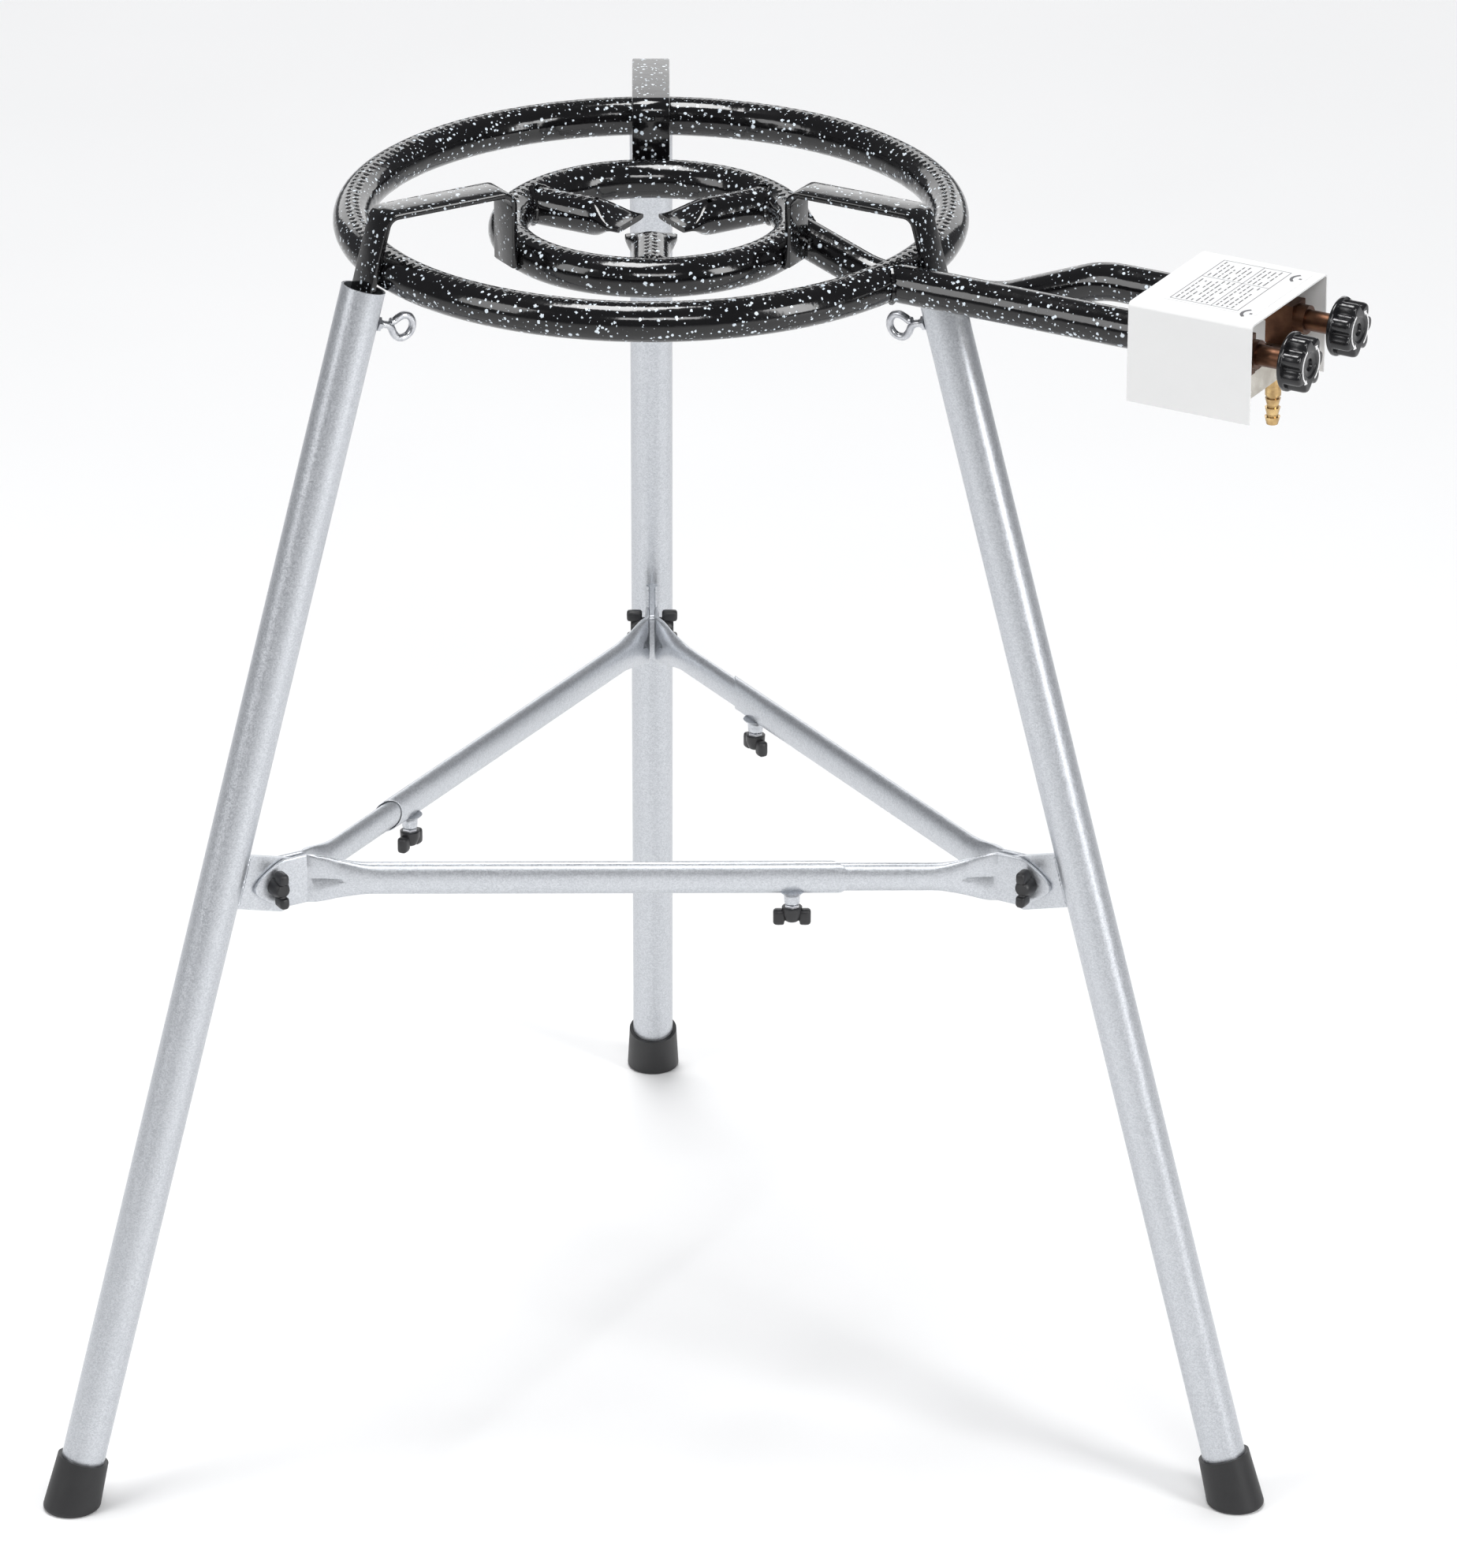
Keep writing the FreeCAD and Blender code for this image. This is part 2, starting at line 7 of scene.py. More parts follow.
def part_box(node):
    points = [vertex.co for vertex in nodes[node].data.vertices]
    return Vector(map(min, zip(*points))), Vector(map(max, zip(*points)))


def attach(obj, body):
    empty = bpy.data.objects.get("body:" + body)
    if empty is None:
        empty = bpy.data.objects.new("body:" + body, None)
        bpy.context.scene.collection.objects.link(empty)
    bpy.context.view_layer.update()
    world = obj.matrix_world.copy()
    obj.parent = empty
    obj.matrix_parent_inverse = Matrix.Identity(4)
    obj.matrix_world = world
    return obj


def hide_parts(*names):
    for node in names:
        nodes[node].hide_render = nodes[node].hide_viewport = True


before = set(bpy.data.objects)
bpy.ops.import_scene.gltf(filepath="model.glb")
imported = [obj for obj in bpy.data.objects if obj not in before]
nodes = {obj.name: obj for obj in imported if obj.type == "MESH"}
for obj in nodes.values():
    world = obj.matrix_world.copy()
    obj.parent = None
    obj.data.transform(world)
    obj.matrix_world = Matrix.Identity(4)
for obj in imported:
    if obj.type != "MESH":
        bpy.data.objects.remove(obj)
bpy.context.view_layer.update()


# Camera: a long lens about five metres in front of the burner and well above it, looking down
# over the near edge of the outer ring. It is turned a hair to the right and barely tilted.
camera_from_rings = Vector((0.00111, -4.98498, 2.63251))
camera_yaw = 0.00967
camera_pitch = 0.41913
camera_roll = 0.00173
camera_lens = 208.17

ring_low, ring_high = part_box("outer_ring")
ring_middle = (ring_low + ring_high) / 2
forward = Vector((math.sin(camera_yaw) * math.cos(camera_pitch),
                  math.cos(camera_yaw) * math.cos(camera_pitch), -math.sin(camera_pitch)))
level = forward.cross(Vector((0, 0, 1))).normalized()
upward = level.cross(forward)
camera_right = level * math.cos(camera_roll) + upward * math.sin(camera_roll)
camera_up = upward * math.cos(camera_roll) - level * math.sin(camera_roll)
camera_data = bpy.data.cameras.new("camera")
camera_data.sensor_fit = "HORIZONTAL"
camera_data.sensor_width = 36.0
camera_data.lens = camera_lens
camera_data.clip_end = 60.0
camera = bpy.data.objects.new("camera", camera_data)
bpy.context.scene.collection.objects.link(camera)
turn = Matrix((camera_right, camera_up, -forward)).transposed().to_4x4()
camera_foot = Vector((ring_middle.x, ring_middle.y, 0))
camera.matrix_world = Matrix.Translation(camera_foot + camera_from_rings) @ turn
bpy.context.scene.camera = camera


# Studio: a plain white sheet for a floor, a pale room, and five soft lamps. The tall lamp on the
# right draws the bright line down the legs, and the one overhead the highlights on the enamel.
room_colour = (0.93, 0.95, 1.0, 1)
room_strength = 0.20
lamps = (("lamp_right", (2.7, -2.2, 1.9), (0, 0, 0.45), 0.9, 2.6, 66.0),
         ("lamp_left", (-3.2, -2.0, 2.4), (0, 0, 0.4), 1.6, 2.4, 50.0),
         ("lamp_above", (-0.4, 0.2, 4.4), (0, 0, 0.8), 1.7, 1.1, 96.0),
         ("lamp_front", (0.3, -5.4, 4.6), (0, 0, 0.2), 3.0, 1.2, 105.0),
         ("lamp_behind", (0.2, 5.2, 2.3), (0, 0, 0.8), 7.0, 2.6, 105.0))
bpy.context.scene.view_settings.view_transform = "Standard"


def new_material(name):
    """A node material with its Principled shader and its node tree."""
    material = bpy.data.materials.new(name)
    material.use_nodes = True
    tree = material.node_tree
    shader = tree.nodes["Principled BSDF"]
    return material, shader, tree


def plug(tree, socket, value):
    """Joins another node's socket to this one, or sets this one to a plain value."""
    if isinstance(value, bpy.types.NodeSocket):
        tree.links.new(value, socket)
    else:
        socket.default_value = value


def add(tree, kind, links=None, **settings):
    """A node with its properties set, and its inputs set to values or joined to other sockets."""
    node = tree.nodes.new(kind)
    for key, value in settings.items():
        setattr(node, key, value)
    for socket, value in (links or {}).items():
        plug(tree, node.inputs[socket], value)
    return node


def math_node(tree, operation, *values, clamp=False):
    node = add(tree, "ShaderNodeMath", dict(enumerate(values)), operation=operation, use_clamp=clamp)
    return node.outputs[0]


def colour_mix(tree, factor, first, second):
    return add(tree, "ShaderNodeMix", {0: factor, 6: first, 7: second}, data_type="RGBA").outputs[2]


def object_place(tree):
    return add(tree, "ShaderNodeTexCoord").outputs["Object"]


def noise(tree, place, scale, detail=2.0):
    return add(tree, "ShaderNodeTexNoise", {"Vector": place, "Scale": scale, "Detail": detail}).outputs["Fac"]


def dress(tree, shader, colour, roughness, height=None, strength=0.0, distance=0.0):
    """Gives a shader its colour and roughness and, where it has one, a fine bump."""
    plug(tree, shader.inputs["Base Color"], colour)
    plug(tree, shader.inputs["Roughness"], roughness)
    if height is not None:
        bump = add(tree, "ShaderNodeBump", {"Height": height, "Strength": strength, "Distance": distance})
        tree.links.new(bump.outputs[0], shader.inputs["Normal"])


floor_mesh = bpy.data.meshes.new("floor")
floor_mesh.from_pydata([(-14, -10, 0), (14, -10, 0), (14, 14, 0), (-14, 14, 0)], [], [(0, 1, 2, 3)])
floor = bpy.data.objects.new("floor", floor_mesh)
bpy.context.scene.collection.objects.link(floor)
floor_material, floor_shader, floor_tree = new_material("studio_floor")
floor_grain = noise(floor_tree, object_place(floor_tree), 3.0, 3.0)
dress(floor_tree, floor_shader,
      colour_mix(floor_tree, floor_grain, (0.94, 0.94, 0.94, 1), (0.97, 0.97, 0.97, 1)), 0.85)
floor_mesh.materials.append(floor_material)

world = bpy.data.worlds.new("room")
bpy.context.scene.world = world
world.use_nodes = True
world.node_tree.nodes["Background"].inputs["Color"].default_value = room_colour
world.node_tree.nodes["Background"].inputs["Strength"].default_value = room_strength
for lamp_name, lamp_place, lamp_target, lamp_wide, lamp_high, lamp_power in lamps:
    lamp_data = bpy.data.lights.new(lamp_name, "AREA")
    lamp_data.shape = "RECTANGLE"
    lamp_data.size = lamp_wide
    lamp_data.size_y = lamp_high
    lamp_data.energy = lamp_power
    lamp = bpy.data.objects.new(lamp_name, lamp_data)
    bpy.context.scene.collection.objects.link(lamp)
    lamp.location = lamp_place
    lamp.rotation_euler = (Vector(lamp_target) - Vector(lamp_place)).to_track_quat("-Z", "Y").to_euler()


# Burner rings: two rings bent from 25 mm steel tube and coated in black vitreous enamel with
# white spatter. Two staggered rows of gas ports are drilled along the top of each tube, and the
# bending has left small wrinkles down the inner side.
mm = 0.001
tube_r = 12.5
outer_ring_r = 187.5
outer_ring_z = 803.0
inner_ring_r = 90.0
inner_ring_z = 795.0
port_r = 1.0
port_deep = 1.5
port_pitch = 6.5
port_row = 0.21
tube_sides = 22
wrinkle_high = 1.1
wrinkle_long = 9.0


def spot(azimuth, out, side, height):
    """A point given in millimetres out from the rings' axis along an azimuth, sideways and up."""
    a = math.radians(azimuth)
    x = out * math.cos(a) - side * math.sin(a)
    y = out * math.sin(a) + side * math.cos(a)
    return Vector((ring_middle.x + x * mm, ring_middle.y + y * mm, height * mm))


def make_group(name, inputs, outputs):
    """An empty shader node group, with its input and output nodes."""
    group = bpy.data.node_groups.new(name, "ShaderNodeTree")
    for label, kind, value in inputs:
        socket = group.interface.new_socket(label, in_out="INPUT", socket_type=kind)
        if value is not None:
            socket.default_value = value
    for label, kind in outputs:
        group.interface.new_socket(label, in_out="OUTPUT", socket_type=kind)
    return group, group.nodes.new("NodeGroupInput"), group.nodes.new("NodeGroupOutput")


def use_group(tree, group, links):
    return add(tree, "ShaderNodeGroup", links, node_tree=group)


# white spatter: round drops of many sizes, a few of them run together
spatter, spatter_in, spatter_out = make_group(
    "spatter", (("Place", "NodeSocketVector", None), ("Drops per metre", "NodeSocketFloat", 260.0),
                ("Share", "NodeSocketFloat", 0.5), ("Smallest", "NodeSocketFloat", 0.08),
                ("Largest", "NodeSocketFloat", 0.26)), (("Mask", "NodeSocketFloat"),))
spatter_bend = add(spatter, "ShaderNodeTexNoise", {"Vector": spatter_in.outputs["Place"], "Scale": 900.0,
                                                   "Detail": 2.0})
spatter_shift = add(spatter, "ShaderNodeVectorMath", {0: spatter_bend.outputs["Color"], 1: (0.5, 0.5, 0.5)},
                    operation="SUBTRACT")
spatter_small = add(spatter, "ShaderNodeVectorMath", {0: spatter_shift.outputs[0]}, operation="SCALE")
spatter_small.inputs["Scale"].default_value = 0.0016
spatter_place = add(spatter, "ShaderNodeVectorMath", {0: spatter_in.outputs["Place"],
                                                      1: spatter_small.outputs[0]}, operation="ADD")
spatter_cells = add(spatter, "ShaderNodeTexVoronoi", {"Vector": spatter_place.outputs[0],
                                                      "Scale": spatter_in.outputs["Drops per metre"]})
spatter_random = add(spatter, "ShaderNodeSeparateColor", {0: spatter_cells.outputs["Color"]})
spatter_there = math_node(spatter, "LESS_THAN", spatter_random.outputs[0], spatter_in.outputs["Share"])
spatter_square = math_node(spatter, "POWER", spatter_random.outputs[1], 2.2)
spatter_spread = math_node(spatter, "SUBTRACT", spatter_in.outputs["Largest"], spatter_in.outputs["Smallest"])
spatter_grow = math_node(spatter, "MULTIPLY", spatter_square, spatter_spread)
spatter_radius = math_node(spatter, "ADD", spatter_grow, spatter_in.outputs["Smallest"])
spatter_gap = math_node(spatter, "SUBTRACT", spatter_radius, spatter_cells.outputs["Distance"])
spatter_edge = math_node(spatter, "MULTIPLY_ADD", spatter_gap, 26.0, 0.5, clamp=True)
spatter.links.new(math_node(spatter, "MULTIPLY", spatter_edge, spatter_there), spatter_out.inputs[0])

enamel, enamel_shader, enamel_tree = new_material("speckled_enamel")
enamel_place = object_place(enamel_tree)
enamel_fine = use_group(enamel_tree, spatter, {"Place": enamel_place, "Drops per metre": 330.0,
                                               "Share": 0.85, "Smallest": 0.10, "Largest": 0.34})
enamel_coarse = use_group(enamel_tree, spatter, {"Place": enamel_place, "Drops per metre": 200.0,
                                                 "Share": 0.85, "Smallest": 0.08, "Largest": 0.28})
enamel_mask = math_node(enamel_tree, "MAXIMUM", enamel_fine.outputs[0], enamel_coarse.outputs[0])
enamel_cloud = noise(enamel_tree, enamel_place, 45.0, 3.0)
enamel_black = colour_mix(enamel_tree, enamel_cloud, (0.0020, 0.0020, 0.0024, 1), (0.0060, 0.0055, 0.0060, 1))
enamel_white = colour_mix(enamel_tree, enamel_cloud, (0.50, 0.58, 0.66, 1), (0.82, 0.88, 0.92, 1))
enamel_rise = math_node(enamel_tree, "MULTIPLY_ADD", enamel_mask, 0.30, noise(enamel_tree, enamel_place, 160.0))
dress(enamel_tree, enamel_shader, colour_mix(enamel_tree, enamel_mask, enamel_black, enamel_white),
      math_node(enamel_tree, "MULTIPLY_ADD", enamel_cloud, 0.10, 0.06), enamel_rise, 0.35, 0.00035)
enamel_shader.inputs["IOR"].default_value = 1.52


def port_cells(bm, place, pitch):
    """One pitch of drilled tube: place(along, around, deep) gives a point of the tube's skin."""
    half = pitch / 2
    around = [2 * port_row + (math.tau - 4 * port_row) * k / tube_sides for k in range(tube_sides + 1)]
    for step in range(2):
        for a, b in zip(around, around[1:]):
            corners = ((step * half, a), (step * half + half, a), (step * half + half, b), (step * half, b))
            bm.faces.new([bm.verts.new(place(along, turn, 0.0)) for along, turn in corners])
    for middle, sign in ((half, 1), (0.0, -1)):
        rim, edge, wall, end = [], [], [], []
        for k in range(8):
            c, s = math.cos(math.tau * k / 8), math.sin(math.tau * k / 8)
            square = max(abs(c), abs(s))
            row = sign * port_row
            rim.append(bm.verts.new(place(middle + half * c / square, row + port_row * s / square, 0.0)))
            for ring, size, deep in ((edge, 1.3, 0.0), (wall, 1.0, 0.3), (end, 1.0, port_deep)):
                at = place(middle + port_r * size * c, row + port_r * size * s / tube_r, deep)
                ring.append(bm.verts.new(at))
        for first, second in ((rim, edge), (edge, wall), (wall, end)):
            for k in range(8):
                bm.faces.new((first[k], first[(k + 1) % 8], second[(k + 1) % 8], second[k]))
        bm.faces.new(end)


def clean(bm, gap=0.00001):
    bmesh.ops.remove_doubles(bm, verts=bm.verts, dist=gap)
    bmesh.ops.recalc_face_normals(bm, faces=bm.faces)


def make_piece(name, bm, body, material, replaces=(), sharp=38.0):
    """Turns a drawn mesh into a finished piece that moves with a body and stands for CAD nodes."""
    clean(bm)
    mesh = bpy.data.meshes.new(name)
    bm.to_mesh(mesh)
    bm.free()
    mesh.polygons.foreach_set("use_smooth", [True] * len(mesh.polygons))
    mesh.set_sharp_from_angle(angle=math.radians(sharp))
    mesh.materials.append(material)
    piece = bpy.data.objects.new(name, mesh)
    bpy.context.scene.collection.objects.link(piece)
    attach(piece, body)
    if replaces:
        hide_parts(*replaces)
    return piece


# the tree turns one drilled pitch round the ring, joins the seams, and wrinkles the inner side
ring_tree = bpy.data.node_groups.new("drilled_ring", "GeometryNodeTree")
ring_sockets = {}
for socket_name, socket_kind in (("Pitch of tube", "NodeSocketGeometry"), ("Pitches", "NodeSocketInt"),
                                 ("Ring radius", "NodeSocketFloat"), ("Tube radius", "NodeSocketFloat"),
                                 ("Wrinkle height", "NodeSocketFloat"), ("Wrinkle length", "NodeSocketFloat"),
                                 ("Enamel", "NodeSocketMaterial")):
    ring_sockets[socket_name] = ring_tree.interface.new_socket(socket_name, in_out="INPUT",
                                                               socket_type=socket_kind).identifier
ring_tree.interface.new_socket("Ring", in_out="OUTPUT", socket_type="NodeSocketGeometry")
ring_in = ring_tree.nodes.new("NodeGroupInput")
ring_out = ring_tree.nodes.new("NodeGroupOutput")
ring_points = add(ring_tree, "GeometryNodePoints", {"Count": ring_in.outputs["Pitches"]})
ring_index = ring_tree.nodes.new("GeometryNodeInputIndex").outputs[0]
ring_step = math_node(ring_tree, "DIVIDE", math.tau, ring_in.outputs["Pitches"])
ring_angle = math_node(ring_tree, "MULTIPLY", ring_index, ring_step)
ring_spin = add(ring_tree, "ShaderNodeCombineXYZ", {"Z": ring_angle})
ring_turn = add(ring_tree, "FunctionNodeEulerToRotation", {0: ring_spin.outputs[0]})
ring_copies = add(ring_tree, "GeometryNodeInstanceOnPoints",
                  {"Points": ring_points.outputs[0], "Instance": ring_in.outputs["Pitch of tube"],
                   "Rotation": ring_turn.outputs[0]})
ring_solid = add(ring_tree, "GeometryNodeRealizeInstances", {0: ring_copies.outputs[0]})
ring_joined = add(ring_tree, "GeometryNodeMergeByDistance", {"Geometry": ring_solid.outputs[0],
                                                             "Distance": 0.00002})
ring_place = ring_tree.nodes.new("GeometryNodeInputPosition").outputs[0]
ring_flat = add(ring_tree, "ShaderNodeVectorMath", {0: ring_place, 1: (1, 1, 0)}, operation="MULTIPLY")
ring_out_r = add(ring_tree, "ShaderNodeVectorMath", {0: ring_flat.outputs[0]}, operation="LENGTH")
ring_way = add(ring_tree, "ShaderNodeVectorMath", {0: ring_flat.outputs[0]}, operation="NORMALIZE")
ring_inside = math_node(ring_tree, "SUBTRACT", ring_in.outputs["Ring radius"], ring_out_r.outputs["Value"])
ring_share = math_node(ring_tree, "DIVIDE", ring_inside, ring_in.outputs["Tube radius"], clamp=True)
ring_share = math_node(ring_tree, "POWER", ring_share, 1.5)
ring_line = add(ring_tree, "ShaderNodeVectorMath", {0: ring_way.outputs[0]}, operation="SCALE")
ring_tree.links.new(ring_in.outputs["Ring radius"], ring_line.inputs["Scale"])
ring_dense = math_node(ring_tree, "DIVIDE", 1.0, ring_in.outputs["Wrinkle length"])
ring_noise = noise(ring_tree, ring_line.outputs[0], ring_dense, 1.0)
ring_wave = math_node(ring_tree, "SUBTRACT", ring_noise, 0.5)
ring_wave = math_node(ring_tree, "MULTIPLY", ring_wave, ring_in.outputs["Wrinkle height"])
ring_wave = math_node(ring_tree, "MULTIPLY", ring_wave, ring_share)
ring_push = add(ring_tree, "ShaderNodeVectorMath", {0: ring_way.outputs[0]}, operation="SCALE")
ring_tree.links.new(ring_wave, ring_push.inputs["Scale"])
ring_moved = add(ring_tree, "GeometryNodeSetPosition", {"Geometry": ring_joined.outputs[0],
                                                        "Offset": ring_push.outputs[0]})
ring_smooth = add(ring_tree, "GeometryNodeSetShadeSmooth", {0: ring_moved.outputs[0]})
ring_coated = add(ring_tree, "GeometryNodeSetMaterial", {"Geometry": ring_smooth.outputs[0],
                                                         "Material": ring_in.outputs["Enamel"]})
ring_tree.links.new(ring_coated.outputs[0], ring_out.inputs[0])


def drilled_ring(name, radius, height, node):
    """One burner ring: a drilled pitch of tube is repeated round it, and the whole set at its height."""
    pitches = round(math.tau * radius / port_pitch)
    pitch = math.tau * radius / pitches

    def on_ring(along, around, deep):
        out = radius + (tube_r - deep) * math.sin(around)
        angle = along / radius
        return Vector((out * math.cos(angle), out * math.sin(angle), (tube_r - deep) * math.cos(around))) * mm

    bm = bmesh.new()
    port_cells(bm, on_ring, pitch)
    clean(bm)
    mesh = bpy.data.meshes.new(name + "_pitch")
    bm.to_mesh(mesh)
    bm.free()
    piece = bpy.data.objects.new(name + "_pitch", mesh)
    bpy.context.scene.collection.objects.link(piece)
    modifier = piece.modifiers.new("drilled_ring", "NODES")
    modifier.node_group = ring_tree
    for label, value in (("Pitches", pitches), ("Ring radius", radius * mm), ("Tube radius", tube_r * mm),
                         ("Wrinkle height", wrinkle_high * mm), ("Wrinkle length", wrinkle_long * mm),
                         ("Enamel", enamel)):
        modifier[ring_sockets[label]] = value
    evaluated = piece.evaluated_get(bpy.context.evaluated_depsgraph_get())
    whole = bpy.data.meshes.new_from_object(evaluated)
    bpy.data.objects.remove(piece)
    bm = bmesh.new()
    bm.from_mesh(whole)
    bm.transform(Matrix.Translation((ring_middle.x, ring_middle.y, height * mm)))
    make_piece(name, bm, "burner", enamel, (node,), 50.0)


drilled_ring("outer_burner_ring", outer_ring_r, outer_ring_z, "outer_ring")
drilled_ring("inner_burner_ring", inner_ring_r, inner_ring_z, "inner_ring")


# Spurs: three short lengths of the same tube run from the inner ring toward the middle. Each is
# drilled along its top, and its end is pinched flat in a press, which closes it and flares it.
legs = (("back", 90.0), ("left", 210.0), ("right", 330.0))
feed_r = 12.0
spur_start = 84.0
spur_tip = 15.0
spur_pinch = 26.0
spur_wide = 33.0
spur_thick = 4.0
spur_pitch = 6.0
spur_drilled = 7
pinch_steps = 14


def ease(x):
    """Runs from 0 to 1 with a soft start and end."""
    x = min(max(x, 0.0), 1.0)
    return x * x * (3 - 2 * x)


def on_spur(azimuth):
    """The spur's skin: round at the ring, and squeezed to a wide thin lip at the tip."""
    def place(along, around, deep):
        flat = ease((along - (spur_start - spur_tip - spur_pinch)) / (spur_pinch * 0.86))
        power = 2 + 2.4 * flat
        wide = (1 - flat) * (feed_r - deep) + flat * spur_wide / 2
        thick = (1 - flat) * (feed_r - deep) + flat * spur_thick / 2
        across = math.copysign(abs(math.sin(around)) ** (2 / power), math.sin(around)) * wide
        up = math.copysign(abs(math.cos(around)) ** (2 / power), math.cos(around)) * thick
        return spot(azimuth, spur_start - along, across, inner_ring_z + up)
    return place


spurs = bmesh.new()
for leg_name, leg_azimuth in legs:
    spur_skin = on_spur(leg_azimuth + 180)
    for k in range(spur_drilled):
        port_cells(spurs, lambda along, around, deep: spur_skin(along + (k + 0.5) * spur_pitch, around, deep),
                   spur_pitch)
    spur_around = ([-2 * port_row, -port_row, 0.0, port_row]
                   + [2 * port_row + (math.tau - 4 * port_row) * k / tube_sides for k in range(tube_sides)])
    pinch_start = (spur_drilled + 0.5) * spur_pitch
    previous = None
    for k in range(pinch_steps + 1):
        row_at = pinch_start + (spur_start - spur_tip - pinch_start) * k / pinch_steps
        row = [spurs.verts.new(spur_skin(row_at, turn, 0.0)) for turn in spur_around]
        if previous:
            for s in range(len(row)):
                spurs.faces.new((previous[s], row[s], row[(s + 1) % len(row)], previous[(s + 1) % len(row)]))
        previous = row
    spurs.faces.new(previous)
make_piece("burner_spur_tubes", spurs, "burner", enamel, ("burner_spurs",), 65.0)


# Feed tubes: one 24 mm tube runs straight to the outer ring, and the other dips under it to the
# inner ring. Both are welded on with a ripple bead, and they and the beads have the same enamel.
control_azimuth = -30.0
feed_sides = {"outer": -29.0, "inner": 39.0}
bead_r = 1.9


def skin(bm, rows, closed=False, caps=True):
    """Joins rows of points, each a loop, into a skin, with a cap on each end or end to end."""
    made = [[bm.verts.new(point) for point in row] for row in rows]
    count = len(made[0])
    pairs = list(zip(made, made[1:])) + ([(made[-1], made[0])] if closed else [])
    for first, second in pairs:
        for k in range(count):
            bm.faces.new((first[k], first[(k + 1) % count], second[(k + 1) % count], second[k]))
    if caps and not closed:
        bm.faces.new(made[0])
        bm.faces.new(made[-1])


def round_rows(path, radii, sides, closed=False):
    """Round outlines square to a path of points, carried along it without a twist."""
    count = len(path)
    rows = []
    side = None
    for k, point in enumerate(path):
        before = path[(k - 1) % count] if closed or k else point
        after = path[(k + 1) % count] if closed or k < count - 1 else point
        way = (after - before).normalized()
        if side is None:
            side = way.orthogonal().normalized()
        side = (side - way * side.dot(way)).normalized()
        other = way.cross(side)
        radius = radii[k] if isinstance(radii, (list, tuple)) else radii
        rows.append([point + (side * math.cos(math.tau * s / sides) + other * math.sin(math.tau * s / sides))
                     * radius * mm for s in range(sides)])
    return rows


def ripple(count, radius):
    """Radii of a weld bead: one ripple every three points, not quite even."""
    return [radius * (1 + 0.16 * math.sin(math.tau * k / 3) + 0.07 * math.sin(k * 1.7)) for k in range(count)]


def joint_path(ring_radius, ring_height, tube, side, azimuth, outward=1, count=72):
    """The closed line where a level tube, offset sideways, meets a ring's skin."""
    points = []
    for k in range(count):
        turn = math.tau * k / count
        across = side + tube * math.cos(turn)
        up = tube * math.sin(turn)
        out = ring_radius + outward * math.sqrt(max(tube_r ** 2 - up ** 2, 0.0))
        points.append(spot(azimuth, math.sqrt(out ** 2 - across ** 2), across, ring_height + up))
    return points


feed_beads = bmesh.new()
tube_joints = [(outer_ring_r, outer_ring_z, feed_sides["outer"], control_azimuth, 1, bead_r),
               (inner_ring_r, inner_ring_z, feed_sides["inner"], control_azimuth, 1, bead_r * 0.9)]
for leg_name, leg_azimuth in legs:
    tube_joints.append((inner_ring_r, inner_ring_z, 0.0, leg_azimuth + 180, -1, bead_r * 0.85))
for ring_radius, ring_height, side, azimuth, outward, radius in tube_joints:
    path = joint_path(ring_radius, ring_height, feed_r, side, azimuth, outward)
    skin(feed_beads, round_rows(path, ripple(len(path), radius), 8, True), True)
make_piece("tube_weld_beads", feed_beads, "burner", enamel)


def coat(material, *names):
    """Gives a carried-over solid its finish."""
    for name in names:
        mesh = nodes[name].data
        mesh.materials.clear()
        mesh.materials.append(material)


coat(enamel, "outer_feed_tube", "inner_feed_tube")


# Pan supports: three flat bars, 24 by 4 mm, each bent into a bridge over both rings and welded to
# them, with its outer end carried down to slide inside a leg. Enamelled with the burner.
lean = math.radians(16.0)
bar_wide = 24.0
bar_thick = 4.0
bar_edge = 0.9
bar_top = 842.0
bar_bend = 8.0
bar_insert = 52.0
bar_bead_r = 1.5
bar_bead_points = 17


def leg_out(height):
    """How far a leg's axis is from the rings' axis at a height."""
    line = outer_ring_r * math.cos(lean) + outer_ring_z * math.sin(lean) + tube_r + bar_thick / 2
    return (line - height * math.sin(lean)) / math.cos(lean)


def bent_line(points, radius, steps=7):
    """Straight runs in a plane with their corners rounded: points and directions along them."""
    line = []
    for k, (x, z) in enumerate(points):
        here = Vector((x, z))
        if k in (0, len(points) - 1):
            line.append(here)
            continue
        back = (Vector(points[k - 1]) - here).normalized()
        on = (Vector(points[k + 1]) - here).normalized()
        half = back.angle(on) / 2
        reach = radius / math.tan(half)
        centre = here + (back + on).normalized() * (radius / math.sin(half))
        start, end = here + back * reach - centre, here + on * reach - centre
        for s in range(steps + 1):
            line.append(centre + start.lerp(end, s / steps).normalized() * radius)
    return line


def bar_outline(wide, thick, edge):
    """A flat bar's section, across and through, with its edges rounded."""
    outline = []
    for sx, sy, first in ((1, 1, 0), (-1, 1, 90), (-1, -1, 180), (1, -1, 270)):
        for k in range(3):
            a = math.radians(first + 45 * k)
            outline.append((sx * (wide / 2 - edge) + edge * math.cos(a),
                            sy * (thick / 2 - edge) + edge * math.sin(a)))
    return outline


